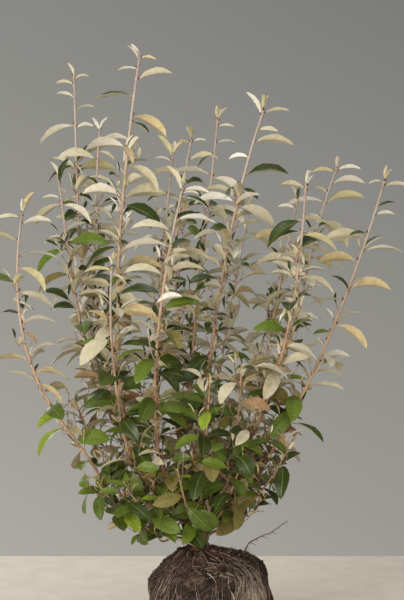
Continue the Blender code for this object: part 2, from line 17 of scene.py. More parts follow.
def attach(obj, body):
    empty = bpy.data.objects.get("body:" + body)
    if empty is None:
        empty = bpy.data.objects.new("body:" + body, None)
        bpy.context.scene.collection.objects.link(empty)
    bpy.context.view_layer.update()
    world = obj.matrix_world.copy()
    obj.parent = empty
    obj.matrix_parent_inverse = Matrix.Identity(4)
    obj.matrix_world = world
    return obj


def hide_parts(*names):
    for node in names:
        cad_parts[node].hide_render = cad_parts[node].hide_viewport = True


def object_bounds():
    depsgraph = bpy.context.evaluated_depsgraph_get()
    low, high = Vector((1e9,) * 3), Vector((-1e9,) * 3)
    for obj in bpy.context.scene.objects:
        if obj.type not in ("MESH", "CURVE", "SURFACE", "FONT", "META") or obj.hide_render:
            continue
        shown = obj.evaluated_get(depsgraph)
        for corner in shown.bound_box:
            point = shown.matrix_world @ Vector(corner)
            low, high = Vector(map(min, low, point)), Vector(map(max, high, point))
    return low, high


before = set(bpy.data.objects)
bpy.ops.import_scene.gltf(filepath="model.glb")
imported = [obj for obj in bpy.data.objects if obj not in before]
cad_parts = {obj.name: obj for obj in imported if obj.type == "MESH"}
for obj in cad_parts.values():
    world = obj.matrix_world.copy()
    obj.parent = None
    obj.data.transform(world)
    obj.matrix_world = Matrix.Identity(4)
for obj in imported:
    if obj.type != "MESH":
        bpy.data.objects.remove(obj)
model_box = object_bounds()

MM = 0.001
GAP = 0.3
UP = Vector((0, 0, 1))

# Root ball: a squat, lumpy ball on a flat underside, whose top draws in to the seat under the trunk. Its
# rings shift to the left above a height, and each is tipped by this much, low on the left.
BALL_RADII = (84, 97, 107, 110, 107, 101, 81, 54, 27)
BALL_HEIGHTS = (0, 12, 34, 62, 92, 116, 134, 146, 157)
BALL_TIPS = (0, 0, 0, 0, 0, 3, 7, 5, 0)
BALL_SHIFT_HEIGHT = 122
BALL_LUMP = 3.5
BALL_SIDES = 28

# Trunk: a short stool that flares at its foot and swells to a round head, from which the boughs start.
TRUNK_FOOT = Vector((-23, 0, 157.3))
TRUNK_FLARE_RADIUS = 26
TRUNK_WAIST_RADIUS = 16
TRUNK_HEAD_RADIUS = 21
TRUNK_WAIST_HEIGHT = 15
TRUNK_HEAD_HEIGHT = 31
TRUNK_SIDES = 20
TRUNK_BUTTRESSES = 5

# Limbs as the model has them: sides and ring spacing. The leaves' places hang on these.
BOUGH_SIDES = 7
CANE_SIDES = 5
SHOOT_SIDES = 4
TWIG_SIDES = 3
BOUGH_RING_SPACING = 26
CANE_RING_SPACING = 52
SHOOT_RING_SPACING = 34
TWIG_RING_SPACING = 40

# Leaves: they stand a fixed turn apart, short and steep at the tip of a stem, long and level further down.
# Low on the shrub they hang and turn their upper face outwards; high on it their underside shows.
LEAF_TURN = math.radians(137.5)
LEAF_SPACING = 26
LEAF_SPACING_AT_TIP = 12
LEAF_WIDTH_SHARE = 0.42
STEM_FULL_AGE = 85
TWIG_FULL_AGE = 25
LEAF_STATIONS = (0.34, 0.71)
LEAF_FULLNESS = (0.98, 0.84)
LEAF_DEPTH_SHARE = 0.05
LEAF_BODY_FACES = [
    (0, 2, 1), (1, 2, 4), (1, 4, 3), (3, 4, 6), (0, 1, 5),
    (0, 5, 2), (5, 1, 3), (5, 4, 2), (5, 3, 6), (5, 6, 4),
]
LEAF_CLEARANCE = 0.5
SMALL_LEAF_SHARES = (0.37, 0.48)
RISE_AT_FOOT = -26
RISE_ALOFT = 4
RISE_AT_TIP = 60
RISE_SPREAD = 24
ROLL_SPREAD = 42
RISE_SPREAD_ALOFT = 15
ROLL_SPREAD_ALOFT = 26
OUTWARD_FACE_LOW = 1.2
OUTWARD_FACE_HIGH = -0.6
LOW_HEIGHT = 330
HIGH_HEIGHT = 850
TWIG_SPAN = (0.06, 0.36)
TWIG_LENGTH = (50, 80)
TWIG_RADIUS = 1.3

# Skirt: no leaf or twig hangs below an edge that is level as far as `SKIRT_FLAT` from `SKIRT_MIDDLE` on the
# X axis and rises beyond it. It rises more slowly to the front and back than to the sides.
SKIRT_MIDDLE = -70
SKIRT_EDGE = 173
SKIRT_FLAT = 80
SKIRT_SLOPE = 0.6
SKIRT_DEPTH_SHARE = 0.6

Bough = namedtuple("Bough", "name tip_radius lean rise tip")
Cane = namedtuple("Cane", "name bough radius turn twigs lean rise tip crown")
Shoot = namedtuple("Shoot", "name height turn lean rise tip")
Leaf = namedtuple("Leaf", "root along face length arch age high")

# Each bough leaves the trunk's head towards `lean`, comes up through `rise` and ends at `tip`.
BOUGHS = [
    Bough("far_left", 3.6, (-105, -8, 182), (-170, -15, 205), (-192, -20, 279)),
    Bough("left", 4.6, (-64, -24, 232), (-128, -40, 282), (-145, -45, 344)),
    Bough("left_back", 4.2, (-75, 34, 240), (-132, 48, 289), (-159, 50, 350)),
    Bough("front", 4.2, (-38, -50, 226), (-78, -64, 280), (-94, -62, 343)),
    Bough("back", 3.8, (-25, 46, 236), (-13, 72, 285), (-16, 76, 335)),
    Bough("middle", 4.0, (-24, -2, 232), (-30, 0, 262), (-25, 0, 306)),
    Bough("right", 4.8, (14, 8, 226), (38, 9, 296), (80, 10, 376)),
    Bough("far_right", 3.4, (28, -34, 206), (70, -26, 262), (102, -20, 323)),
]

# Each cane goes on from its bough's tip through `lean` and `rise` to `tip`, where its highest leaves stand.
# `crown` notes the open leaves near the tip: a side (l left, r right, f front, b back; a capital letter is a
# full-grown leaf), the distance below the tip, and ^ for a rising leaf, v for a hanging one, + for its upper
# face forward.
CANES = [
    Cane("outer_left", "far_left", 2.7, 0.4, 2, (-247, -20, 380), (-383, -20, 456), (-337, -20, 763),
         "f2^ R8^ L10+ R22 L52 R80 R98v L128+ R142+v r160v l182+ R200 r214v R237+ L266 R290 R312v R330+v"),
    Cane("left", "left_back", 2.6, 2.0, 1, (-252, 54, 506), (-259, 60, 680), (-281, 60, 836),
         "l2^ r4^ R18^+ l45 L53v R55v R130+ L136+v L162 L185+v R200"),
    Cane("left_tall", "left_back", 2.6, 0.9, 0, (-258, 122, 546), (-253, 177, 826), (-262, 180, 1036),
         "l4^ r3^ r9 l20 l45 r68 L98v r104 l150v L175+v R184 R220+ l236v l252+"),
    Cane("left_rear", "left_back", 2.4, 3.6, 1, (-230, 92, 463), (-223, 119, 715), (-208, 120, 926),
         "r3^ l6^ R24 r42+v L60+ l115 r119 R160 L170+v R177+v"),
    Cane("tallest", "left", 3.6, 2.6, 1, (-184, -70, 533), (-149, -89, 862), (-124, -90, 1030),
         "r3 l2^ l22 R41 L70+ R103v r115+v L158 R187v L245 R249 R259+v r313 L330+v L352+v R372"),
    Cane("left_short", "left", 2.4, 0.2, 1, (-162, -103, 450), (-176, -148, 556), (-169, -150, 668),
         "f2^ r4^ L9 r14+v"),
    Cane("front", "front", 2.9, 4.2, 1, (-97, -132, 469), (-84, -187, 650), (-48, -190, 797),
         "L3^ f1^ R5 r9 R14+v R54 R64+ L76+ L100 R112 R148 L152+ L184+ R190 R212+ L226"),
    Cane("centre_left", "front", 2.5, 1.5, 1, (-88, -8, 505), (-86, 22, 713), (-69, 24, 872),
         "l2^ r3^ L9^ l15 r38+v l75+ r80+v"),
    Cane("rear_left", "back", 2.6, 5.0, 0, (-82, 160, 560), (-91, 227, 645), (-36, 230, 916),
         "f1^ r5 l8 R42 L66"),
    Cane("centre", "middle", 2.7, 3.1, 1, (-78, 33, 399), (2, 59, 795), (13, 60, 937),
         "f1^ r4^ r14+ r45 l66+v L103 R106v R162v"),
    Cane("right_tall", "middle", 2.9, 5.6, 1, (2, -33, 536), (26, -59, 749), (93, -60, 942),
         "f1^ r3^ R8 L13^ r38+ R60 l88 R122+ l140+v r144+v L150 L170 R176+v"),
    Cane("rear_right", "back", 2.4, 2.2, 1, (30, 143, 454), (53, 207, 668), (77, 210, 784),
         "r1^ r6 l11 R50v R72+"),
    Cane("right_front", "right", 2.8, 0.7, 1, (137, -76, 511), (153, -137, 675), (161, -140, 805),
         "f1^ r3^ r12^ L6 l12v L60+v L80+v R85v"),
    Cane("right_low", "right", 2.4, 4.6, 1, (100, 44, 600), (128, 62, 650), (161, 60, 790),
         "l2^ r3^ l18 R44 L74"),
    Cane("right_rear", "right", 2.6, 3.9, 1, (166, 86, 530), (183, 138, 714), (240, 140, 853),
         "f1^ R5 L8 R32 l50 L68 R72 R105v R156+v"),
    Cane("outer_right", "far_right", 2.8, 1.1, 2, (195, -20, 470), (268, -20, 672), (310, -20, 820),
         "f1^ l4+ R11 r50+ r66 l100+ L108 R133+ L152 R204 L228 R272v l288+ L304v R346 L354+ R394+ L412+"),
]
CANE_TIP_RADIUS = 1.9
CANE_LEAF = 66
NOTE_BEARINGS = {"r": 0, "b": 90, "l": 180, "f": 270}

# Each low shoot leaves the trunk at `height` above its foot, and fills the skirt of the shrub.
SHOOTS = [
    Shoot("front_low", 24, 0.5, (-34, -64, 212), (-44, -112, 248), (-58, -150, 322)),
    Shoot("front_left_low", 18, 2.1, (-72, -66, 202), (-114, -110, 224), (-150, -136, 298)),
    Shoot("front_right_low", 22, 3.9, (8, -60, 210), (36, -112, 262), (54, -136, 346)),
    Shoot("front_high", 34, 1.2, (-18, -50, 232), (-10, -122, 330), (-2, -140, 480)),
    Shoot("left_low", 12, 5.2, (-90, -34, 184), (-150, -72, 212), (-200, -86, 292)),
    Shoot("left_high", 36, 0.9, (-96, -36, 230), (-176, -90, 300), (-222, -100, 430)),
    Shoot("right_low", 16, 4.4, (40, -30, 208), (100, -70, 268), (138, -84, 356)),
    Shoot("right_high", 30, 2.9, (30, -44, 230), (56, -100, 330), (64, -106, 498)),
    Shoot("right_mid", 26, 3.4, (46, 14, 218), (96, 44, 282), (116, 56, 366)),
    Shoot("rear_left_low", 14, 1.8, (-76, 50, 192), (-134, 104, 220), (-172, 128, 310)),
    Shoot("rear_left_high", 36, 4.8, (-66, 66, 240), (-118, 152, 330), (-142, 172, 470)),
    Shoot("rear_low", 16, 0.3, (-20, 64, 198), (-6, 134, 236), (-16, 166, 330)),
    Shoot("rear_right_low", 20, 2.5, (28, 50, 212), (76, 104, 268), (104, 128, 358)),
    Shoot("rear_right_high", 34, 5.7, (20, 64, 236), (70, 138, 330), (92, 156, 470)),
]
SHOOT_RADIUS = 2.4
SHOOT_TIP_RADIUS = 1.2
SHOOT_LEAF = 70
SHOOT_TWIGS = 1

# Stray root: one thin root that stands out of the top of the ball, with a few finer ones along it.
STRAY_ROOT_FOOT = (60, 8)
STRAY_ROOT = [(70, 7, 166), (92, 5, 178), (110, 4, 186), (132, 4, 202), (140, 4, 206)]
STRAY_ROOT_RADII = [1.8, 1.6, 1.3, 1.0, 0.9, 0.8, 0.5]
ROOTLETS = [((70, 7, 166), (82, 9, 161)), ((92, 5, 178), (104, 2, 174)), ((110, 4, 186), (119, 6, 182))]

# Finer growth: more side twigs and leaves than the model has, within the same reach. A low leaf of the model
# stands for more than one, so it is drawn at its life size here. Twigs are counted to a metre of stem.
Finer = namedtuple("Finer", "per_metre span lengths leaf")
FINE_ON_CANE = Finer(70, (0.03, 0.76), (12, 36), 66)
FINE_ON_SHOOT = Finer(54, (0.03, 0.95), (30, 66), 60)
FINE_ON_BOUGH = Finer(80, (0.3, 0.98), (30, 66), 60)
# Some limbs carry more or less of it than the rest.
FINE_SHARE = {
    "cane_outer_right": 0.2,
    "cane_outer_left": 0.5,
    "cane_right_rear": 0.75,
    "cane_right_low": 1.4,
    "cane_front": 1.2,
    "bough_far_right": 0.45,
    "bough_right": 0.8,
}
FINE_LEAF_LIFT = 100
FINE_TWIG_RADIUS = 0.8
TIP_LEAVES = 4
TIP_LEAF = (17, 31)
LIFE_SIZE_LOW = 0.88
LIFE_SIZE_ALOFT = 1.18

# Leaf blade: rows along it and its ring of corners across the upper and then the lower skin.
PETIOLE_SHARE = 0.1
PETIOLE_HALF = 0.75
LEAF_ROWS = (0.0, PETIOLE_SHARE, 0.16, 0.28, 0.44, 0.61, 0.78, 0.92, 1.0)
LEAF_ACROSS = (-1, -0.54, -0.045, 0.045, 0.54, 1, 0.54, 0.045, -0.045, -0.54)
LEAF_SKIN = (0, 0.8, 0.3, 0.3, 0.8, 0, -0.8, -1.9, -1.9, -0.8)
LEAF_THICKNESS = 0.5
RIB_STRIPS = (2, 7)
# How far a leaf's face is drawn up to level at these heights, so that half way up and aloft both sides show.
LEVELLED_HEIGHTS = (230, 350, 850)
LEVELLED = (0.05, 0.7, 0.3)

# Roots and soil on the ball. A bundle of upright roots has a bearing in degrees, its share of the strands
# and the share of them that are pale. The torn roots lie about a bearing of their own.
FINE_ROOTS = 3300
UPRIGHT_ROOTS = 760
ROOT_BUNDLES = (
    (313, 0.4, 0.75), (20, 0.14, 0.5), (95, 0.14, 0.5), (165, 0.1, 0.4), (218, 0.16, 0.3), (270, 0.06, 0.1),
)
HAIR_ROOTS = 190
TORN_ROOTS = 70
TORN_BEARING = 279
NECK_ROOTS = 26
CRUMBS = 900
SIDE_ROOTS = 16

# Leaf sides. The upper ones have a waxy cuticle with a soft gloss, and undersides are covered in dry silvery
# scales. Each has a name, colour, shade, vein colour, strength of the veins, roughness, relief of the veins
# and the shader's other sockets.
WAX = {"Coat Weight": 0.06, "Coat Roughness": 0.2, "Specular IOR Level": 0.24}
SCURF = {"Sheen Weight": 0.15, "Sheen Roughness": 0.5, "Specular IOR Level": 0.3}
LEAF_SIDES = {
    "buff": ("young_leaf_above", "#C2BAA0", "#ACA58B", "#CDC6B0", 0.06, 0.55, 0.1, SCURF),
    "bottle": ("old_leaf_above", "#354216", "#283211", "#54642E", 0.22, 0.36, -1.2, WAX),
    "mid": ("full_leaf_above", "#4B5C1C", "#3D4B15", "#6E8040", 0.22, 0.38, -1.2, WAX),
    "leaf": ("soft_leaf_above", "#5F7223", "#4F611C", "#849649", 0.24, 0.4, -1.2, WAX),
    "fresh": ("fresh_leaf_above", "#81952B", "#6D8125", "#ABBA5C", 0.3, 0.38, -1.2, WAX),
    "olive": ("ageing_leaf_above", "#7B713C", "#645C30", "#9C9160", 0.25, 0.45, -1.2, WAX),
    "silver": ("silver_scaled_underside", "#D9D2C1", "#C8C1AC", "#BCB49B", 0.07, 0.6, 0.3, SCURF),
    "pearl": ("pearly_young_underside", "#EAE7DC", "#DCD8C9", "#CFCAB4", 0.07, 0.6, 0.3, SCURF),
    "cream": ("cream_scaled_underside", "#CEC5A7", "#BCB392", "#A59B7B", 0.09, 0.6, 0.35, SCURF),
    # Khaki and tan: the scales' own colour together with painted warm light from inside the crown.
    "khaki": ("khaki_scaled_underside", "#D1BE92", "#B8A57B", "#8F7D5A", 0.13, 0.62, 0.5, SCURF),
    "sage": ("sage_scaled_underside", "#C8BF92", "#B1A87A", "#8E8A62", 0.13, 0.6, 0.5, SCURF),
    "tan": ("tan_scaled_underside", "#AE8A62", "#93704C", "#755236", 0.2, 0.66, 0.6, SCURF),
    "dry": ("dead_leaf", "#C4A076", "#8F6E4A", "#6C4E34", 0.4, 0.8, 1.2, {}),
}
# A leaf's ribs and petiole: colour, shade and roughness.
LEAF_RIBS = {
    "rib_above": ("#6E7A44", "#5E6A38", 0.45),
    "rib_below": ("#C7B286", "#AE946A", 0.6),
    "petiole": ("#C2976F", "#A67B57", 0.55),
}
# Each tint is an upper and a lower side, and how often it is dealt: at a tip, aloft, half way up, low down.
# The khaki and tan undersides, dealt mostly half way up and low down, are partly the older leaves' browner
# scales and partly painted warm light that passes through and bounces between the leaves inside the crown.
LEAF_TINTS = [
    ("buff", "silver", 3.6, 2.8, 1.6, 0),
    ("buff", "cream", 3.8, 3.8, 3, 0.1),
    ("buff", "khaki", 0, 0.3, 1.8, 0.1),
    ("bottle", "silver", 2.8, 2, 0.6, 0.05),
    ("bottle", "pearl", 1.2, 1.8, 1, 0.05),
    ("bottle", "cream", 3.2, 3.2, 1.3, 0.4),
    ("bottle", "sage", 1.6, 1.6, 1, 1.1),
    ("bottle", "khaki", 0.2, 0.4, 1.2, 0.9),
    ("mid", "cream", 0.2, 1, 2.2, 1),
    ("mid", "khaki", 0.1, 0.3, 3.2, 4),
    ("leaf", "khaki", 0, 0.2, 2.6, 3.8),
    ("leaf", "sage", 0, 0.4, 2.3, 2.4),
    ("olive", "khaki", 0, 0.1, 1.6, 1.9),
    ("bottle", "tan", 0, 0.1, 0.6, 1.9),
    ("fresh", "sage", 0, 0.15, 0.35, 0.55),
    ("dry", "dry", 0, 0, 0.1, 0.4),
]
TIP_AGE = 0.34
ALOFT_SHARE = 0.62
HALF_WAY_SHARE = 0.12

# Bark: colours of a cane or shoot by metres from its tip, and of old bark and soil from hollow to ridge.
# A cane is greyish pink at its tip, then pinkish buff, orange-tan and red-brown; a low shoot is browner.
CANE_TONES = (
    (0.07, "#927F74"), (0.16, "#B09E8F"), (0.27, "#B69B83"),
    (0.46, "#B28A62"), (0.66, "#9E7248"), (0.88, "#80593C"),
)
SHOOT_TONES = ((0.06, "#A8905A"), (0.16, "#9C7648"), (0.26, "#8A5E3A"), (0.36, "#734C33"), (0.5, "#62432F"))
BOUGH_TONES = ((0.0, "#2E1F16"), (0.25, "#5C4131"), (0.6, "#946F50"), (0.9, "#AF8C6B"))
TRUNK_TONES = ((0.0, "#241912"), (0.3, "#4E3A2B"), (0.6, "#93704F"), (0.9, "#B8946D"))
SOIL_TONES = ((0.0, "#0D0907"), (0.35, "#1F1611"), (0.7, "#372A21"), (1.0, "#5A4A3E"))

# Studio: soft panels by name, place, target, size, power and colour. The camera stands where the photograph
# was taken from, and its focal length is in pixels of an image of this height.
LIGHTS = [
    ("key", (-2.2, -2.7, 1.5), (0, 0, 0.5), (1.5, 1.5), 94, "#FFFBF4"),
    ("front", (0.7, -3.6, 0.9), (0, 0, 0.35), (2.6, 1.6), 57, "#FFF8EC"),
    ("top", (0.2, 0.2, 2.9), (0, 0, 0.5), (2.0, 2.0), 38, "#FFFFFF"),
    ("back", (-1.2, 2.6, 1.6), (0, 0, 0.5), (1.6, 1.6), 26, "#FFFFFF"),
]
WALL_TONES = ((0.0, "#AFAAA4"), (0.32, "#9B9992"), (0.6, "#8E8D88"), (0.72, "#898884"), (1.0, "#7A7A77"))
FLOOR_HALF = 720
FLOOR_THICKNESS = 12
CAMERA_PLACE = (-0.016, -2.6, 0.66)
CAMERA_DIP = math.radians(1.19)
FOCAL_PIXELS = 1444.4
IMAGE_HEIGHT = 600
SENSOR = 36


def smooth(share):
    """0 to 1 with level ends, as the share goes from 0 to 1."""
    share = np.clip(share, 0.0, 1.0)
    return share * share * (3 - 2 * share)


def mix(a, b, share):
    return a + (b - a) * share


def seed_of(name):
    """The same number each run for the same name."""
    return sum((i + 1) * ord(letter) for i, letter in enumerate(name))


def unit(vectors):
    """Each vector of an array, at length 1."""
    return vectors / np.maximum(np.linalg.norm(vectors, axis=-1, keepdims=True), 1e-9)


def reach_along(line):
    """How far along a line each of its points lies."""
    return np.concatenate([[0], np.cumsum(np.linalg.norm(np.diff(line, axis=0), axis=1))])


def places_on(line, reach, stops):
    """The places at these distances along a line whose points lie at `reach`."""
    return np.stack([np.interp(stops, reach, line[:, axis]) for axis in range(3)], axis=-1)


class Limb:
    """A tapering limb along a cubic curve, kept as a line of rings set the same distance apart."""

    SAMPLES = 64

    def __init__(self, points, radii, sides, spacing, foot_normal=None):
        a, b, c, d = (np.array(p, float) for p in points)
        t = np.linspace(0, 1, self.SAMPLES)[:, None]
        curve = (1 - t) ** 3 * a + 3 * (1 - t) ** 2 * t * b + 3 * (1 - t) * t**2 * c + t**3 * d
        reach = reach_along(curve)
        rings = max(3, round(reach[-1] / spacing) + 1)
        self.line = places_on(curve, reach, np.linspace(0, reach[-1], rings))
        self.reach = reach_along(self.line)
        self.length = float(self.reach[-1])
        self.radii = radii
        self.sides = sides
        self.foot_normal = foot_normal
        self.lift = 0
        self.leaves = []

    def place(self, distance):
        return Vector(places_on(self.line, self.reach, distance))

    def direction(self, distance):
        step = self.length / 10
        ahead = self.place(min(distance + step, self.length))
        return (ahead - self.place(max(distance - step, 0))).normalized()

    def end_direction(self):
        return Vector(self.line[-1] - self.line[-2]).normalized()

    def shape(self):
        radii = [mix(*self.radii, distance / self.length) for distance in self.reach]
        return tube(self.line, radii, self.sides, self.foot_normal)


def ring_faces(rows, sides):
    """The faces between rings of corners that follow one another, and a cap at either end."""
    start = np.arange(rows - 1)[:, None] * sides
    first, second = start + np.arange(sides), start + (np.arange(sides) + 1) % sides
    faces = np.stack([first, second, second + sides, first + sides], axis=-1).reshape(-1, 4).tolist()
    return faces + [list(reversed(range(sides))), list(range((rows - 1) * sides, rows * sides))]


def tube(places, radii, sides, foot_normal=None):
    """The plain tube that stands for a limb where room is tested: (points, faces)."""
    places = np.array(places, float)
    ahead = np.concatenate([places[1:], places[-1:]])
    behind = np.concatenate([places[:1], places[:-1]])
    alongs = unit(ahead - behind)
    if foot_normal is not None:
        alongs[0] = foot_normal
    side = np.array(Vector(alongs[0]).orthogonal())
    turns = np.arange(sides) * 2 * math.pi / sides
    rings = []
    for place, along, radius in zip(places, alongs, radii):
        side = unit(side - along * (side @ along))
        across = np.cross(along, side)
        rings.append(place + (np.outer(np.cos(turns), side) + np.outer(np.sin(turns), across)) * radius)
    return np.concatenate(rings), ring_faces(len(places), sides)


def leaf_body(leaf, extra=0.0):
    """The plain blade of ten faces that stands for a leaf where room is tested; `extra` fattens it."""
    across = leaf.along.cross(leaf.face).normalized()
    crown = leaf.length * leaf.arch / 8
    depth = leaf.length * LEAF_DEPTH_SHARE + 2 * extra
    points = [leaf.root - leaf.along * extra]
    for share, fullness in zip(LEAF_STATIONS, LEAF_FULLNESS):
        arched = leaf.face * (4 * share * (1 - share) * crown + extra)
        middle = leaf.root + leaf.along * leaf.length * share + arched
        half = across * (leaf.length * LEAF_WIDTH_SHARE / 2 * fullness + extra)
        points += [middle - half, middle + half]
    points.append(points[1] + (points[2] - points[1]) / 2 - leaf.face * depth)
    points.append(leaf.root + leaf.along * (leaf.length + extra))
    return np.array(points, float), LEAF_BODY_FACES


class Space:
    """What is already in place, so that a twig or leaf that would touch another piece can be left out."""

    def __init__(self, room=6000):
        self.limits = None
        self.owners = []
        self.trees = []
        self.lows = np.full((room, 3), np.inf)
        self.highs = np.full((room, 3), -np.inf)

    def add(self, owner, shape):
        points, faces = shape
        index = len(self.owners)
        self.lows[index], self.highs[index] = points.min(0), points.max(0)
        self.owners.append(owner)
        self.trees.append(BVHTree.FromPolygons(points.tolist(), faces))

    def is_clear(self, shape, owner):
        """True if the shape meets nothing but its owner's own stem and twigs, and stays inside the limits."""
        points, faces = shape
        if self.limits is not None and ((points < self.limits[0]).any() or (points > self.limits[1]).any()):
            return False
        near = (self.lows <= points.max(0)).all(1) & (self.highs >= points.min(0)).all(1)
        others = [i for i in np.flatnonzero(near) if self.owners[i] != owner]
        if not others:
            return True
        tree = BVHTree.FromPolygons(points.tolist(), faces)
        return not any(tree.overlap(self.trees[i]) for i in others)


def above_skirt(points):
    """True if all the points lie above the skirt's lower edge."""
    places = np.array(points, float)
    reach = np.hypot(places[:, 0] - SKIRT_MIDDLE, places[:, 1] * SKIRT_DEPTH_SHARE)
    return bool((places[:, 2] > SKIRT_EDGE + SKIRT_SLOPE * np.maximum(0, reach - SKIRT_FLAT)).all())


def height_share(height):
    return smooth((height - LOW_HEIGHT) / (HIGH_HEIGHT - LOW_HEIGHT))


def way_out(limb, distance, turn):
    """A limb's own direction at a distance along it, and the way out of it at this turn."""
    along = limb.direction(distance)
    side = UP.cross(along).normalized() if abs(along.z) < 0.99 else Vector((1, 0, 0))
    return along, Matrix.Rotation(turn, 3, along) @ side


def rising(level, degrees):
    """A level direction, tipped up by this angle."""
    rise = math.radians(degrees)
    return level * math.cos(rise) + UP * math.sin(rise)


def square_to(along, face):
    """The part of a face's direction that is square to the leaf, at length 1."""
    return (face - along * face.dot(along)).normalized()


def leaf_by_rule(limb, distance, turn, full_length, full_age, draw):
    """A leaf by its age, which is its distance from the tip, and by its height on the shrub.

    Its upper face looks up, turned outwards from the shrub's middle when low and inwards when high. A finer
    twig's leaves stand as ones `lift` higher up would: more level, with their underside outwards.
    """
    age = smooth((limb.length - distance) / full_age)
    root = limb.place(distance)
    high = height_share(root.z + limb.lift)
    outward = way_out(limb, distance, turn)[1]
    length = full_length * mix(0.32, mix(1.06, 0.94, high), age) * draw.uniform(0.86, 1.08)
    rise = mix(RISE_AT_TIP, mix(RISE_AT_FOOT, RISE_ALOFT, high), age)
    rise += draw.uniform(-1, 1) * mix(RISE_SPREAD, RISE_SPREAD_ALOFT, high)
    level = Vector((outward.x, outward.y, outward.z * 0.3)).normalized()
    along = rising(level, rise).normalized()
    roll = draw.uniform(-1, 1) * mix(ROLL_SPREAD, ROLL_SPREAD_ALOFT, high)
    away = Vector((root.x - TRUNK_FOOT.x, root.y - TRUNK_FOOT.y, 0))
    away = away.normalized() if away.length > 1 else Vector((0, -1, 0))
    face = square_to(along, UP + away * mix(OUTWARD_FACE_LOW, OUTWARD_FACE_HIGH, high))
    face = Matrix.Rotation(math.radians(roll), 3, along) @ face
    return Leaf(root, along, face, length, mix(0.3, 0.9, age), age, high)


def below_tip(note):
    """How far below the tip a noted leaf stands."""
    return float(note.strip("lrfbLRFB^v+"))


def leaf_by_note(limb, note, full_length, draw):
    """A leaf of the open crown from its note: side, distance below the tip, and marks."""
    below, small = below_tip(note), note[0].islower()
    root = limb.place(max(limb.length - below, 0))
    bearing = math.radians(NOTE_BEARINGS[note[0].lower()] + draw.uniform(-22, 22))
    rise = draw.uniform(-8, 12)
    if "^" in note:
        rise = draw.uniform(52, 72)
    if "v" in note:
        rise = draw.uniform(-40, -24)
    length = full_length * draw.uniform(0.92, 1.04) * mix(0.62, 1.0, smooth(below / 70))
    if small:
        length = full_length * mix(*SMALL_LEAF_SHARES, smooth(below / 30))
    along = rising(Vector((math.cos(bearing), math.sin(bearing), 0)), rise)
    face = square_to(along, UP + Vector((0, -0.85 if "+" in note else 0.85, 0)))
    age = smooth(below / STEM_FULL_AGE) * (0.4 if small else 1)
    return Leaf(root, along, face, length, 0.7, age, height_share(root.z))


def grow_leaves(limb, owner, space, draw, turn, first, full_length, full_age, notes=()):
    """Grows the leaves along one stem or twig: the noted ones, then by rule from below them to `first`.

    One that would touch another piece is turned, and left out if it still would.
    """

    def keep(leaf, distance):
        body = leaf_body(leaf)
        if not above_skirt(body[0]):
            return False
        if not all(space.is_clear(each, owner) for each in (body, leaf_body(leaf, LEAF_CLEARANCE))):
            return False
        limb.leaves.append((distance, leaf))
        space.add(owner + "_leaf", body)
        return True

    for note in notes:
        for _ in range(4):
            if keep(leaf_by_note(limb, note, full_length, draw), limb.length - below_tip(note)):
                break
    below = below_tip(notes[-1]) + LEAF_SPACING if notes else 2
    while below < limb.length - first:
        distance = limb.length - below
        for attempt in range(5):
            leaf = leaf_by_rule(limb, distance, turn + attempt * 0.8, full_length, full_age, draw)
            if keep(leaf, distance):
                break
        spacing = mix(LEAF_SPACING_AT_TIP, LEAF_SPACING, smooth(below / full_age))
        below += spacing * draw.uniform(0.85, 1.15)
        turn += LEAF_TURN + draw.uniform(-0.25, 0.25)


def twig_from(limb, distance, turn, draw, lengths, radius):
    """A side twig that leaves its stem at a slant and curves up."""
    along, outward = way_out(limb, distance, turn)
    length = draw.uniform(*lengths)
    foot = limb.place(distance)
    lean = foot + (outward + along * 0.7).normalized() * length * 0.45
    tip = foot + (outward * 0.75 + along * 0.4 + UP * 0.75).normalized() * length
    return Limb([foot, lean, mix(lean, tip, 0.5), tip], (radius, radius * 0.7), TWIG_SIDES, TWIG_RING_SPACING)


def grow_twigs(limb, owner, space, draw, turn, count, span, lengths, radius):
    """Side twigs on the lower part of a stem, each clear of every other piece."""
    twigs = []
    for i in range(count):
        distance = limb.length * mix(*span, (i + draw.random()) / count)
        for attempt in range(5):
            twig = twig_from(limb, distance, turn + attempt * 1.25, draw, lengths, radius)
            if above_skirt(twig.line) and space.is_clear(twig.shape(), owner):
                twigs.append(twig)
                space.add(owner, twig.shape())
                break
        turn += LEAF_TURN
    return twigs


def clearance(tree, point):
    """How far the point lies outside the solid, negative inside it."""
    nearest, normal, _, distance = tree.find_nearest(point)
    return distance if (point - nearest).dot(normal) > 0 else -distance


def socket(trunk_tree, start, towards, radius):
    """Where a limb of this radius starts: the first place on the way out that is just clear of the trunk."""
    along = (towards - start).normalized()
    side = along.orthogonal().normalized()
    spokes = [Matrix.Rotation(math.radians(30 * i), 3, along) @ side for i in range(12)]
    cap = [spoke * radius * share for spoke in spokes for share in (0, 0.35, 0.7, 1)]
    distance = trunk_tree.ray_cast(start, along)[3] - radius
    while min(clearance(trunk_tree, start + along * distance + place) for place in cap) < GAP:
        distance += 0.05
    return start + along * distance, along


def build_boughs(trunk_tree):
    head = TRUNK_FOOT + UP * TRUNK_HEAD_HEIGHT
    limbs = {}
    for bough in BOUGHS:
        radii = (bough.tip_radius * 1.15, bough.tip_radius)
        foot, along = socket(trunk_tree, head, Vector(bough.lean), radii[0])
        points = [foot, bough.lean, bough.rise, bough.tip]
        limbs[bough.name] = Limb(points, radii, BOUGH_SIDES, BOUGH_RING_SPACING, along)
    return limbs


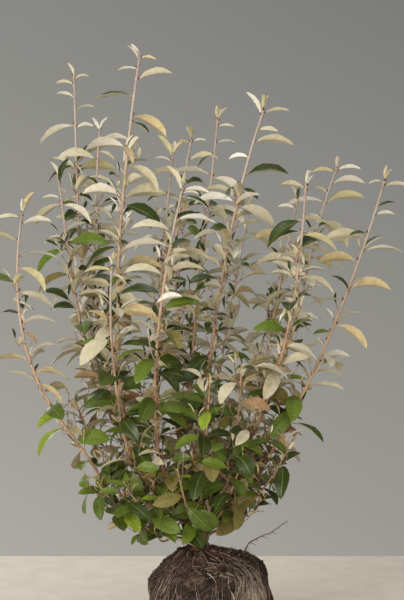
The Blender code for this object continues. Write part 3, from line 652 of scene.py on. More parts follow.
def side_by_side(along, canes):
    """The offsets of canes that share a bough's tip: evenly round it, each on the side that it leans to."""
    if len(canes) == 1:
        return {canes[0].name: Vector((0, 0, 0))}
    first = along.orthogonal().normalized()
    second = along.cross(first)
    middle = sum((Vector(cane.rise) for cane in canes), Vector((0, 0, 0))) / len(canes)

    def bearing(cane):
        lean = Vector(cane.rise) - middle
        return math.atan2(lean.dot(second), lean.dot(first))

    step = 2 * math.pi / len(canes)
    order = sorted(canes, key=bearing)
    errors = [bearing(cane) - i * step for i, cane in enumerate(order)]
    start = math.atan2(sum(math.sin(e) for e in errors), sum(math.cos(e) for e in errors))
    spread = (max(cane.radius for cane in canes) + GAP) / math.sin(math.pi / len(canes))
    places = {}
    for i, cane in enumerate(order):
        turn = start + i * step
        places[cane.name] = (first * math.cos(turn) + second * math.sin(turn)) * spread
    return places


def build_cane_stems(boughs):
    """The stems of the canes, each from the tip of its bough."""
    stems = {}
    for name, bough in boughs.items():
        sharing = [cane for cane in CANES if cane.bough == name]
        end, along = bough.place(bough.length), bough.end_direction()
        offsets = side_by_side(along, sharing)
        for cane in sharing:
            foot = end + along * GAP + offsets[cane.name]
            lean = mix(foot + along * (Vector(cane.lean) - foot).length, Vector(cane.lean), 0.75)
            points = [foot, lean, cane.rise, cane.tip]
            radii = (cane.radius, CANE_TIP_RADIUS)
            stems[cane.name] = Limb(points, radii, CANE_SIDES, CANE_RING_SPACING, along)
    return stems


def shoot_stem(shoot, swing, trunk_tree):
    """The stem of a low shoot, swung round the trunk by this angle."""
    start = TRUNK_FOOT + UP * shoot.height
    about = Matrix.Rotation(swing, 3, UP)
    lean, rise, tip = (start + about @ (Vector(p) - start) for p in (shoot.lean, shoot.rise, shoot.tip))
    foot, along = socket(trunk_tree, start, lean, SHOOT_RADIUS)
    radii = (SHOOT_RADIUS, SHOOT_TIP_RADIUS)
    return Limb([foot, lean, rise, tip], radii, SHOOT_SIDES, SHOOT_RING_SPACING, along)


def build_shoot_stems(trunk_tree, space):
    """The stems of the low shoots, each swung round the trunk until it is clear of all the other stems."""
    stems = {}
    for shoot in SHOOTS:
        for i in range(24):
            swing = math.radians(6) * ((i + 1) // 2) * (-1) ** i
            stem = shoot_stem(shoot, swing, trunk_tree)
            if space.is_clear(stem.shape(), shoot.name):
                stems[shoot.name] = stem
                space.add("shoot_" + shoot.name, stem.shape())
                break
    return stems


def ball_centre(height):
    """The middle of the root ball at a height: it shifts under the trunk towards the top."""
    share = smooth((height - BALL_SHIFT_HEIGHT) / (BALL_HEIGHTS[-1] - BALL_SHIFT_HEIGHT))
    return share * TRUNK_FOOT.x, share * TRUNK_FOOT.y


def ball_body():
    """The plain ball that stands for the root ball where room is tested."""
    rings = len(BALL_RADII)
    turns = np.arange(BALL_SIDES)[None] * 2 * math.pi / BALL_SIDES
    points = ball_point(turns, np.linspace(0, 1, rings)[:, None])
    return points.reshape(-1, 3), ring_faces(rings, BALL_SIDES)


def trunk_profile():
    """Radius and height of the trunk from its foot to the top of its round head."""
    waist = (TRUNK_WAIST_RADIUS, TRUNK_WAIST_HEIGHT)
    profile = [(TRUNK_FLARE_RADIUS, 0), (TRUNK_FLARE_RADIUS * 0.8, 5), waist]
    for i in range(7):
        turn = math.radians(mix(-38, 80, i / 6))
        height = TRUNK_HEAD_HEIGHT + TRUNK_HEAD_RADIUS * math.sin(turn)
        profile.append((TRUNK_HEAD_RADIUS * math.cos(turn), height))
    return np.array(profile)


def trunk_grid(profile, sides):
    """The trunk turned from its profile, its flare drawn out into buttresses: an array of rows by sides."""
    radius, height = profile[:, :1], profile[:, 1:]
    turns = np.arange(sides)[None] * 2 * math.pi / sides
    reach = radius * (1 + 0.16 * (1 - smooth(height / TRUNK_WAIST_HEIGHT)) * np.cos(TRUNK_BUTTRESSES * turns))
    grid = np.stack([reach * np.cos(turns), reach * np.sin(turns), height + 0 * turns], axis=-1)
    return grid + np.array(TRUNK_FOOT)


def trunk_body():
    """The plain trunk that stands for it where room is tested."""
    grid = trunk_grid(trunk_profile(), TRUNK_SIDES)
    return grid.reshape(-1, 3), ring_faces(len(grid), TRUNK_SIDES)


def stray_root_line(ball_tree):
    """The stray root's places, from its foot on the ball's own slope, and the normal of that slope."""
    hit, normal, _, _ = ball_tree.ray_cast(Vector((*STRAY_ROOT_FOOT, 300)), -UP)
    return [hit + normal * GAP, hit + normal * 6] + [Vector(p) for p in STRAY_ROOT], normal


def grow_mass(name, stem, space, turn, twigs, leaf_length, notes=()):
    """One mass of the model, leaf by leaf: its stem and side twigs, each with its own leaves."""
    draw = random.Random(seed_of(name))
    limbs = grow_twigs(stem, name, space, draw, turn, twigs, TWIG_SPAN, TWIG_LENGTH, TWIG_RADIUS)
    for twig in limbs:
        grow_leaves(twig, name, space, draw, turn + 1, twig.length * 0.3, leaf_length, TWIG_FULL_AGE)
    grow_leaves(stem, name, space, draw, turn, stem.length * 0.08, leaf_length, STEM_FULL_AGE, notes)
    return [stem] + limbs


def grow_finer(name, stem, space, turn, finer):
    """The finer side twigs of one stem, by the same rule and inside the model's own reach."""
    draw = random.Random(seed_of(name + "_fine"))
    count = round(stem.length / 1000 * finer.per_metre * FINE_SHARE.get(name, 1))
    twigs = grow_twigs(
        stem, name, space, draw, turn + 0.7, count, finer.span, finer.lengths, FINE_TWIG_RADIUS
    )
    for twig in twigs:
        turn += LEAF_TURN
        twig.lift = FINE_LEAF_LIFT
        grow_leaves(twig, name, space, draw, turn, twig.length * 0.22, finer.leaf, TWIG_FULL_AGE)
    return twigs


def grow_tip(name, stem, space):
    """The tuft of young leaves that stands upright round a cane's tip."""
    draw = random.Random(seed_of(name + "_tip"))
    turn = draw.uniform(0, 6.3)
    for _ in range(TIP_LEAVES):
        turn += LEAF_TURN
        along = rising(Vector((math.cos(turn), math.sin(turn), 0)), draw.uniform(48, 78))
        distance = stem.length - draw.uniform(0.5, 7)
        root = stem.place(distance)
        length = draw.uniform(*TIP_LEAF)
        leaf = Leaf(root, along, square_to(along, UP), length, 0.5, 0.1, height_share(root.z))
        if space.is_clear(leaf_body(leaf), name):
            stem.leaves.append((distance, leaf))


def grow_shrub():
    """Every limb of the shrub with its leaves: (boughs, canes, shoots, sprigs, stray root)."""
    space = Space()
    ball, trunk = ball_body(), trunk_body()
    trunk_tree = BVHTree.FromPolygons(trunk[0].tolist(), trunk[1])
    ball_tree = BVHTree.FromPolygons(ball[0].tolist(), ball[1])
    root_line, root_normal = stray_root_line(ball_tree)
    space.add("root_ball", ball)
    space.add("trunk", trunk)
    space.add("stray_root", tube(root_line, STRAY_ROOT_RADII, CANE_SIDES, root_normal))
    boughs = build_boughs(trunk_tree)
    for name, limb in boughs.items():
        space.add("bough_" + name, limb.shape())
    cane_stems = build_cane_stems(boughs)
    for name, stem in cane_stems.items():
        space.add("cane_" + name, stem.shape())
    shoot_stems = build_shoot_stems(trunk_tree, space)

    canes, shoots, sprigs = {}, {}, {}
    for cane in CANES:
        name, stem = "cane_" + cane.name, cane_stems[cane.name]
        canes[name] = grow_mass(name, stem, space, cane.turn, cane.twigs, CANE_LEAF, cane.crown.split())
    for shoot in SHOOTS:
        name, stem = "shoot_" + shoot.name, shoot_stems[shoot.name]
        shoots[name] = grow_mass(name, stem, space, shoot.turn, SHOOT_TWIGS, SHOOT_LEAF)

    low, high = (np.array(corner) / MM for corner in model_box)
    space.limits = (low + 2, high - 2)
    for i, (name, limb) in enumerate(boughs.items()):
        sprigs[name] = grow_finer("bough_" + name, limb, space, i * 1.9, FINE_ON_BOUGH)
    for shoot in SHOOTS:
        name = "shoot_" + shoot.name
        shoots[name] += grow_finer(name, shoots[name][0], space, shoot.turn, FINE_ON_SHOOT)
    for cane in CANES:
        name = "cane_" + cane.name
        stem = canes[name][0]
        grow_tip(name, stem, space)
        canes[name] += grow_finer(name, stem, space, cane.turn, FINE_ON_CANE)
    return boughs, canes, shoots, sprigs, root_line


def curve_through(points, stops):
    """A smooth line through rows of points at these stops, counted in points.

    On each span it is the cubic whose slope at either end is half the chord between the neighbouring points.
    """
    points = np.asarray(points, float)
    padded = np.concatenate([2 * points[:1] - points[1:2], points, 2 * points[-1:] - points[-2:-1]])
    span = np.clip(np.floor(stops).astype(int), 0, len(points) - 2)
    f = (stops - span)[..., None]
    a, b, c, d = (padded[span + i] for i in range(4))
    return 0.5 * (2 * b + (c - a) * f + (2 * a - 5 * b + 4 * c - d) * f**2 + (3 * b - a - 3 * c + d) * f**3)


def value_noise(points, cell, seed):
    """Smooth noise from -1 to 1: a number for each corner of a grid of this cell, blended between them."""
    scaled = np.asarray(points, float) / cell
    base = np.floor(scaled).astype(np.int64)
    part = smooth(scaled - base)
    total = np.zeros(scaled.shape[:-1])
    for corner in np.ndindex(2, 2, 2):
        x, y, z = np.moveaxis(base + np.array(corner), -1, 0)
        mixed = (x * 73856093) ^ (y * 19349663) ^ (z * 83492791) ^ (seed * 2654435761)
        mixed = ((mixed ^ (mixed >> 13)) * 1274126177) & 0xFFFFFFFF
        mixed = ((mixed ^ (mixed >> 15)) * 2246822519) & 0xFFFFFFFF
        weight = np.prod(np.where(np.array(corner) == 1, part, 1 - part), axis=-1)
        total += weight * (mixed / 0x7FFFFFFF - 1)
    return total


def frames_along(lines):
    """Unit vectors beside and across each line of an array (..., rows, 3), with no twist on a flat bend."""
    along = unit(np.gradient(lines, axis=-2))
    bend = np.cross(along[..., 0, :], along[..., -1, :])
    flat_axis = np.where(np.abs(along[..., :1, 2]) > 0.8, (1.0, 0, 0), (0, 0, 1.0))
    spare = np.cross(along[..., 0, :], flat_axis)
    bent = np.linalg.norm(bend, axis=-1, keepdims=True) > 0.15
    beside = np.where(bent, unit(bend), unit(spare))[..., None, :]
    beside = unit(beside - along * np.sum(beside * along, axis=-1, keepdims=True))
    return beside, np.cross(along, beside)


def round_sections(lines, radii, sides):
    """Rings about lines: at each row a circle of this radius, square to it. Gives corners and spokes."""
    beside, across = frames_along(lines)
    turns = np.arange(sides) * 2 * np.pi / sides
    spoke = beside[..., None, :] * np.cos(turns)[:, None] + across[..., None, :] * np.sin(turns)[:, None]
    return lines[..., None, :] + spoke * np.asarray(radii)[..., None, None], spoke


def loft(grids):
    """Faces over grids of (count, rows, ring) corners: one between neighbours and a cap at either end.

    The far half of each ring starts its faces one corner later, so that the two sides of a thin blade are cut
    on the same diagonal and never cross. Gives all corners, each loop's corner and each face's first loop.
    """
    points, loops, sizes, offset = [], [], [], 0
    for grid in grids:
        count, rows, ring = grid.shape[:3]
        base = offset + np.arange(count)[:, None, None] * rows * ring
        here = base + np.arange(rows - 1)[None, :, None] * ring
        k = np.arange(ring)[None, None, :]
        after = (k + 1) % ring
        sides = np.stack([here + k, here + after, here + after + ring, here + k + ring], axis=-1)
        sides[:, :, ring // 2 :] = np.roll(sides[:, :, ring // 2 :], -1, axis=-1)
        first = base[:, 0] + np.arange(ring)[None, ::-1]
        last = base[:, 0] + (rows - 1) * ring + np.arange(ring)[None]
        points.append(grid.reshape(-1, 3))
        loops += [sides.ravel(), first.ravel(), last.ravel()]
        sizes += [np.full(count * (rows - 1) * ring, 4), np.full(2 * count, ring)]
        offset += count * rows * ring
    sizes = np.concatenate(sizes)
    starts = np.concatenate([[0], np.cumsum(sizes)[:-1]])
    return np.concatenate(points), np.concatenate(loops), starts


def face_finishes(grid, slots):
    """The finish of each face of a grid: slots has one for each side face, or one for each of its strands."""
    count, rows, ring = grid.shape[:3]
    if slots.ndim == 1:
        slots = np.broadcast_to(slots[:, None, None], (count, rows - 1, ring))
    return np.concatenate([slots.ravel(), slots[:, 0, 0], slots[:, -1, 0]])


def new_piece(name, grids, finishes, slots=None, values=None, corners=None, sharp=None):
    """One smooth-shaded mesh over grids in millimetres.

    slots gives each strand or side face its finish, values names numbers kept on the corners, corners places
    each loop on a leaf blade, and sharp is the angle past which an edge is left hard.
    """
    points, loops, starts = loft(grids)
    mesh = bpy.data.meshes.new(name)
    mesh.vertices.add(len(points))
    mesh.vertices.foreach_set("co", (points * MM).astype(np.float32).ravel())
    mesh.loops.add(len(loops))
    mesh.loops.foreach_set("vertex_index", loops.astype(np.int32))
    mesh.polygons.add(len(starts))
    mesh.polygons.foreach_set("loop_start", starts.astype(np.int32))
    for finish in finishes:
        mesh.materials.append(finish)
    if slots is not None:
        filled = np.concatenate([face_finishes(grid, slot) for grid, slot in zip(grids, slots)])
        mesh.polygons.foreach_set("material_index", filled.astype(np.int32))
    mesh.update(calc_edges=True)
    mesh.validate()
    mesh.shade_smooth()
    if sharp is not None:
        mesh.set_sharp_from_angle(angle=sharp)
    for key, numbers in (values or {}).items():
        kept = mesh.attributes.new(key, "FLOAT", "POINT")
        kept.data.foreach_set("value", np.concatenate([n.ravel() for n in numbers]).astype(np.float32))
    if corners is not None:
        layer = mesh.uv_layers.new(name="blade")
        layer.data.foreach_set("uv", corners[loops].astype(np.float32).ravel())
    piece = bpy.data.objects.new(name, mesh)
    bpy.context.scene.collection.objects.link(piece)
    return piece


def blade_outline(share):
    """Half a blade's width from 0 to 1 along it: a flattened sine, full in the middle, blunt at the tip."""
    return np.sin(np.pi * np.clip(share, 0, 1) ** 1.04) ** 0.6


def leaf_grid(leaves, low, draw):
    """The skins of many leaves at once, as (leaves, rows, ring) corners.

    A row's middle lies on a parabola that arches towards the upper face. Its half-width follows the outline,
    its two halves rise from the rib by the fold and curl down again at the margin, which also waves a little.
    The ring of corners goes over the upper skin and back under it, and the two skins meet along the margin.
    """
    count = len(leaves)
    root, along, face, length, arch, age, high = (np.array(column) for column in zip(*leaves))
    length = length * np.where(low, LIFE_SIZE_LOW, mix(1, LIFE_SIZE_ALOFT, high))
    face = face + np.interp(root[:, 2], LEVELLED_HEIGHTS, LEVELLED)[:, None] * np.array(UP)
    face = unit(face - along * np.sum(face * along, axis=1, keepdims=True))
    across = unit(np.cross(along, face))
    width = mix(0.33, mix(0.47, 0.42, high), np.clip(age * 1.6, 0, 1)) * draw.uniform(0.88, 1.1, count)
    fold = mix(44, mix(17, 36, high), np.clip(age * 1.4, 0, 1)) + draw.uniform(-9, 9, count)
    fold = np.radians(fold)[:, None, None]
    twist = np.radians(draw.uniform(-26, 26, count))[:, None, None]
    roll = np.radians(draw.uniform(-1, 1, count) * mix(34, 18, high))[:, None, None]
    bend = draw.uniform(-0.07, 0.07, count)
    curl = draw.uniform(0.02, 0.2, count)[:, None, None]
    wave = draw.uniform(0.004, 0.016, count)
    phase = draw.uniform(0, 2 * np.pi, count)[:, None, None]
    droop = draw.uniform(0.0, 0.09, count) * age

    rows, ring = np.array(LEAF_ROWS), np.array(LEAF_ACROSS)
    share = (rows - PETIOLE_SHARE) / (1 - PETIOLE_SHARE)
    blade = blade_outline(share)[None] * length[:, None] * width[:, None] / 2
    half = np.where(rows < PETIOLE_SHARE, PETIOLE_HALF, np.maximum(blade, 0.5))
    half = half + 0.25 * (rows == PETIOLE_SHARE)
    half[:, -1] = 0.25
    half = half[:, :, None]
    skin = np.where(rows <= PETIOLE_SHARE, 1.5, LEAF_THICKNESS) * np.where(rows == 1, 0.4, 1)
    down = rows[None, :, None]
    turn = roll + twist * (down - 0.35)
    root, along, face, across = (vector[:, None] for vector in (root, along, face, across))
    side = across * np.cos(turn) + face * np.sin(turn)
    top = face * np.cos(turn) - across * np.sin(turn)
    middle = root + along * down * length[:, None, None]
    middle = middle + face * (4 * down * (1 - down)) * (length * arch / 8)[:, None, None]
    middle = middle + across * down**2 * (length * bend)[:, None, None]
    middle = middle - face * down**3 * (length * droop)[:, None, None]

    v = ring[None, None, :]
    out = np.abs(v)
    lift = half * (np.sqrt(out**2 + 0.004) * np.sin(fold) - out**3 * curl)
    ripple = np.sin(2 * np.pi * 2.3 * down + phase + (v > 0) * 1.7)
    ripple = ripple * out**2 * (wave * length)[:, None, None]
    lift = lift + ripple * np.clip(blade_outline(share), 0, 1)[None, :, None]
    lift = lift + np.array(LEAF_SKIN)[None, None] * skin[None, :, None] / 2
    beside = half * v * np.cos(fold)
    return middle[:, :, None] + side[:, :, None] * beside[..., None] + top[:, :, None] * lift[..., None]


def deal_tints(leaves, keys, draw):
    """The upper and lower finish of each leaf, drawn by weight for the zone that it grows in."""
    age, high = (np.array([getattr(leaf, key) for leaf in leaves]) for key in ("age", "high"))
    zone = np.where(high > ALOFT_SHARE, 1, np.where(high > HALF_WAY_SHARE, 2, 3))
    zone = np.where((age < TIP_AGE) & (zone < 3), 0, zone)
    weights = np.array([tint[2:] for tint in LEAF_TINTS], float).T
    totals = np.cumsum(weights, axis=1)
    picked = draw.random(len(leaves)) * totals[zone, -1]
    choice = np.minimum((picked[:, None] > totals[zone]).sum(1), len(LEAF_TINTS) - 1)
    return (np.array([keys.index(tint[side]) for tint in LEAF_TINTS])[choice] for side in (0, 1))


def limbs_of(masses):
    return [limb for limbs in masses.values() for limb in limbs]


def place_leaves(name, masses, finishes, seed, low=False):
    """One mesh of all the leaves of some masses, each with the tint dealt to it for its age and height.

    Where the masses are low ones, the leaves of the model's own limbs are drawn at their life size.
    """
    limbs = limbs_of(masses)
    leaves = [leaf for limb in limbs for _, leaf in limb.leaves]
    lowered = [low and limb.radii[0] != FINE_TWIG_RADIUS for limb in limbs for _ in limb.leaves]
    draw = np.random.default_rng(seed)
    grid = leaf_grid(leaves, np.array(lowered), draw)
    keys = list(finishes)
    upper, lower = deal_tints(leaves, keys, draw)
    strip = np.arange(len(LEAF_ACROSS))[None, None, :]
    slots = np.where(strip < len(LEAF_ACROSS) // 2, upper[:, None, None], lower[:, None, None])
    slots = np.repeat(slots, len(LEAF_ROWS) - 1, axis=1)
    alive, grown = upper != keys.index("dry"), upper != keys.index("buff")
    slots[alive, :, RIB_STRIPS[0]] = keys.index("rib_below")
    slots[alive & grown, :, RIB_STRIPS[0]] = keys.index("rib_above")
    slots[alive, :, RIB_STRIPS[1]] = keys.index("rib_below")
    slots[:, 0] = keys.index("petiole")
    # Where each corner lies on its blade: along it from the root, and across it from one margin to the other.
    rows, ring = np.array(LEAF_ROWS), np.array(LEAF_ACROSS)
    places = np.stack(np.broadcast_arrays(rows[:, None], (ring[None] + 1) / 2), axis=-1).reshape(-1, 2)
    corners = np.tile(places, (len(leaves), 1))
    return new_piece(name, [grid], finishes.values(), [slots], corners=corners, sharp=math.radians(70))


def stem_grid(limb, sides, spacing, lead, from_tip):
    """One stem's bark: rings along its smooth line, swollen at each leaf and drawn to a point at the tip.

    It starts `lead` back inside what carries it. Gives its grid and each corner's metres from the tip.
    """
    rows = max(4, int(limb.length / spacing) + 1)
    distance = np.linspace(0, limb.length, rows)
    line = curve_through(limb.line, distance / limb.length * (len(limb.line) - 1))
    start = line[:1] - unit(line[1:2] - line[:1]) * lead
    line = np.concatenate([start, line])
    distance = np.concatenate([[-lead], distance])
    radius = mix(*limb.radii, np.clip(distance / limb.length, 0, 1))
    places = np.array([place for place, _ in limb.leaves])
    if len(places):
        swell = np.exp(-(((distance[:, None] - places[None]) / 3.4) ** 2)).sum(1).clip(0, 1.2)
        radius = radius * (1 + 0.25 * swell)
    radius = radius * (1 + 0.3 * np.exp(-np.clip(distance, 0, None) / 6))
    end = line[-1:] + unit(line[-1:] - line[-2:-1]) * limb.radii[1] * 0.9
    line = np.concatenate([line, end])
    radius = np.concatenate([radius, [limb.radii[1] * 0.3]])
    age = np.concatenate([limb.length - distance, [0]]) + from_tip
    grid, spoke = round_sections(line[None], radius[None], sides)
    rough = value_noise(grid * np.array([1, 1, 0.35]), 2.2, 5) * 0.05 * radius[None, :, None]
    return grid + spoke * rough[..., None], np.broadcast_to(age[None, :, None] * MM, grid.shape[:3])


def place_stems(name, masses, finish, sides, spacing, lead):
    """One mesh of all the stems and twigs of these masses."""
    grids, ages = [], []
    for limb in limbs_of(masses):
        if limb.radii[0] > TWIG_RADIUS:
            grid, age = stem_grid(limb, sides, spacing, lead, 0)
        else:
            # A side twig's bark is as old as its stem's some way down, and a finer twig's older still.
            grid, age = stem_grid(limb, 6, 5, 2, 600 if limb.lift else 120)
        grids.append(grid)
        ages.append(age)
    return new_piece(name, grids, [finish], values={"from_tip": ages})


def place_buds(name, masses, finish):
    """A small brown bud in the axil of each leaf: a spindle that leans out from the stem."""
    places, alongs, outs, radii = [], [], [], []
    for limb in limbs_of(masses):
        for distance, leaf in limb.leaves:
            along = np.array(limb.direction(distance))
            out = np.array(leaf.along)
            places.append(limb.place(distance))
            alongs.append(along)
            outs.append(out - along * (out @ along))
            radii.append(mix(*limb.radii, distance / limb.length))
    draw = np.random.default_rng(31)
    places, alongs, outs, radii = np.array(places), np.array(alongs), unit(np.array(outs)), np.array(radii)
    length = draw.uniform(3.4, 6.2, len(places)) * np.clip(radii / 2.0, 0.55, 1.15)
    foot = places + outs * (radii * 0.75)[:, None] + alongs * 0.8
    axis = unit(alongs + outs * 0.55)
    steps = np.array([0, 0.3, 0.62, 0.86, 1])
    lines = foot[:, None] + axis[:, None] * steps[None, :, None] * length[:, None, None]
    girth = np.array([0.7, 1, 0.85, 0.5, 0.12])[None] * (length * 0.27)[:, None]
    return new_piece(name, [round_sections(lines, girth, 5)[0]], [finish])


def bark_relief(grid, spoke, around, tall, depth, seed):
    """Bark drawn in and out: long ridges between narrow cracks, from noise that is stretched up the limb."""
    stretch = np.array([1 / around, 1 / around, 1 / tall])
    ridges = 1 - np.abs(value_noise(grid * stretch, 1, seed)) * 2
    fine = value_noise(grid * stretch * 2.6, 1, seed + 1)
    relief = 0.7 * ridges + 0.3 * fine
    return grid + spoke * (relief * depth)[..., None], relief


def place_trunk(finish):
    """The trunk's bark: its turned profile with buttresses, ridged and cracked, closed at either end."""
    profile = trunk_profile()
    rows, sides, cap_rows = 76, 110, 5
    profile = curve_through(profile, np.linspace(0, len(profile) - 1, rows))
    rim, top = profile[-1]
    cap = np.stack([np.linspace(rim, 0.4, cap_rows + 1)[1:], np.full(cap_rows, top)], axis=1)
    cap[:, 1] += 0.6 * (1 - (cap[:, 0] / rim) ** 2)
    grid = trunk_grid(np.concatenate([profile, cap]), sides)[None]
    spoke = unit((grid - grid.mean(2, keepdims=True)) + 1e-6) * np.array([1, 1, 0.4])
    grid, relief = bark_relief(grid, spoke, 3.2, 9, 0.6, 11)
    # The bark darkens within 13 mm of its foot, where it meets the ball, as low relief does in the bark's
    # ramp.
    darker_at_foot = np.clip(1 - (grid[..., 2] - TRUNK_FOOT.z) / 13, 0, 1)
    relief = 0.34 + 0.6 * relief - 0.7 * darker_at_foot
    grid[..., 2] = np.maximum(grid[..., 2], TRUNK_FOOT.z - 1.5)
    return new_piece("trunk_bark", [grid], [finish], values={"relief": [relief]})


def place_boughs(boughs, finish):
    """The boughs' bark: ridged tubes that widen into a collar at the trunk and round off past their tips."""
    grids, reliefs = [], []
    past_tip = np.array([1.2, 2.2, 2.9, 3.2])
    for i, limb in enumerate(boughs.values()):
        distance = np.linspace(0, limb.length, int(limb.length / 2.5))
        line = curve_through(limb.line, distance / limb.length * (len(limb.line) - 1))
        ends = line[-1:] + unit(line[-1:] - line[-2:-1]) * past_tip[:, None]
        line = np.concatenate([line[:1] - unit(line[1:2] - line[:1]) * 9, line, ends])
        distance = np.concatenate([[-9], distance, limb.length + past_tip])
        radius = mix(*limb.radii, np.clip(distance / limb.length, 0, 1))
        radius = radius * (1 + 0.55 * np.exp(-np.clip(distance, 0, None) / 8))
        radius = radius * (1 + 0.22 * np.exp(-(((distance - limb.length) / 7) ** 2)))
        knots = np.array([0.31, 0.52, 0.74]) * limb.length + 4 * math.sin(i * 2.3)
        radius = radius * (1 + 0.13 * np.exp(-(((distance[:, None] - knots) / 4) ** 2)).sum(1))
        radius[-len(past_tip) :] *= (0.92, 0.75, 0.5, 0.15)
        grid, spoke = round_sections(line[None], radius[None], 22)
        grid, relief = bark_relief(grid, spoke, 2.4, 7, 0.32, 40 + i)
        grids.append(grid)
        reliefs.append(relief)
    return new_piece("bough_bark", grids, [finish], values={"relief": reliefs})


def ball_point(turn, share, lift=0.0):
    """A place on the root ball: share runs up its side, from the edge of its foot at 0 to the seat at 1.

    Its radius and height follow smooth curves through the rings, with three and seven lumps round each ring.
    """
    turn, share = np.broadcast_arrays(turn, share)
    last = len(BALL_RADII) - 1
    stops = np.clip(share, 0, 1) * last
    profile = np.stack([BALL_RADII, BALL_HEIGHTS, BALL_TIPS], axis=1)
    outline = curve_through(profile, stops)
    ahead = curve_through(profile, np.minimum(stops + 0.05, last))
    behind = curve_through(profile, np.maximum(stops - 0.05, 0))
    slope = unit((ahead - behind)[..., :2])
    radius, height = outline[..., 0], outline[..., 1]
    lump = np.sin(3 * turn + 0.05 * height) + 0.6 * np.sin(7 * turn - 0.08 * height)
    lump = BALL_LUMP * lump * np.clip(stops / 2, 0, 1) * np.clip(last - stops, 0, 1)
    radius = radius + lump + lift * slope[..., 1]
    height = height - lift * slope[..., 0]
    across, away = ball_centre(height)
    height = height + outline[..., 2] * np.cos(turn)
    return np.stack([radius * np.cos(turn) + across, radius * np.sin(turn) + away, height], axis=-1)


def place_ball(finish):
    """The root ball's skin: its outline with clods, hollows and a mat of fine roots drawn in and out."""
    sides, rows = 240, 112
    turn = np.linspace(0, 2 * np.pi, sides, endpoint=False)[None]
    share = np.linspace(0, 1, rows)[:, None]
    flat = ball_point(turn, share)
    # The mat runs up and down on one side of the ball and slants across on the other, as the roots grew.
    swirl = np.clip(np.cos(turn - np.radians(322)) * 1.6 - 0.3, 0, 1)
    girth, tall = 100, 200
    arc, up = turn * girth, share * tall
    x, y = np.cos(turn) * girth / 3.0, np.sin(turn) * girth / 3.0
    upright = np.stack(np.broadcast_arrays(x, y, up / 26), axis=-1)
    across = 0.94 * up - 0.35 * arc + 9 * value_noise(flat, 30, 3)
    along = 0.35 * up + 0.94 * arc
    slanting = np.stack(np.broadcast_arrays(across / 3.2, along / 24, 0 * up), axis=-1)
    mat = swirl * value_noise(upright, 1, 21) + (1 - swirl) * value_noise(slanting, 1, 22)
    relief = 0.6 * value_noise(flat, 24, 7) + 0.6 * value_noise(flat, 8, 8)
    relief = relief + 0.5 * value_noise(flat, 3.2, 9) + 0.25 * mat
    skin = ball_point(turn, share, 1.9 * relief * np.clip(share * 12, 0, 1))
    foot = skin[:1] * np.linspace(0.02, 0.97, 7)[:, None, None] * np.array([1, 1, 0])
    middle = np.array([TRUNK_FOOT.x, TRUNK_FOOT.y, BALL_HEIGHTS[-1]])
    seat = skin[-1:] + (middle - skin[-1:]) * np.array([0.35, 0.7, 0.98])[:, None, None]
    grid = np.concatenate([foot, skin, seat])
    grid[..., 2] = np.maximum(grid[..., 2], 0)
    tone = np.concatenate([np.zeros((len(foot), sides)), relief, np.zeros((len(seat), sides))])
    return new_piece("root_ball_skin", [grid[None]], [finish], values={"relief": [tone[None]]})


def root_paths(turn, share, lift, radius, sides):
    """Roots that lie on the ball: each follows its own turn and share, and tapers to its end."""
    lines = ball_point(turn, share, lift)
    lines[..., 2] = np.maximum(lines[..., 2], radius + 0.2)
    return round_sections(lines, radius, sides)[0]


def place_fine_roots(finishes):
    """The mat of fine roots: bundles of pale strands that climb the ball, with darker roots slanting between.

    A bundle's strands stand about its own bearing, thicker and closer towards its middle.
    """
    draw = np.random.default_rng(77)
    count, steps = FINE_ROOTS, np.linspace(0, 1, 10)
    upright = np.arange(count) < UPRIGHT_ROOTS
    bundles = np.array(ROOT_BUNDLES)
    bundle = bundles[draw.choice(len(bundles), count, p=bundles[:, 1])]
    bearing = np.radians(bundle[:, 0])
    turn = np.where(upright, bearing + draw.normal(0, 0.22, count), draw.uniform(0, 2 * np.pi, count))
    share = np.where(upright, draw.uniform(0.08, 0.5, count), draw.uniform(0.04, 0.92, count))
    slant = draw.choice([-1, 1], count, p=[0.3, 0.7]) * draw.uniform(0.1, 0.44, count)
    run = np.where(upright, 0.12 * (bearing - turn) + draw.normal(0, 0.05, count), slant)
    climb = np.where(upright, draw.uniform(0.14, 0.34, count), 0.3 * slant + draw.normal(0, 0.05, count))
    phase = draw.uniform(0, 2 * np.pi, (2, count, 1))
    weave = np.sin(steps * draw.uniform(4, 10, (count, 1)) + phase[0])
    sway = np.sin(steps * draw.uniform(3, 9, (count, 1)) + phase[1])
    turns = turn[:, None] + run[:, None] * steps + 0.014 * weave + 0.02 * sway
    shares = np.clip(share[:, None] + climb[:, None] * steps + 0.005 * weave, 0.03, 0.98)
    thick = draw.gamma(2.0, 0.14, count).clip(0.2, 0.9)
    thick = thick + np.where(upright, draw.uniform(0.1, 0.8, count) ** 1.5, 0)
    radius = thick[:, None] * (1 - 0.7 * steps) * np.clip(steps * 9 + 0.3, 0, 1)
    lift = 0.9 + 0.9 * weave + thick[:, None] * 0.5
    grid = root_paths(turns, shares, lift, radius, 3)
    pale = upright & (draw.random(count) < bundle[:, 2])
    tone = np.where(pale, 0, draw.choice([1, 2, 3], count, p=[0.42, 0.5, 0.08]))
    return new_piece("fine_roots", [grid], finishes, [tone])


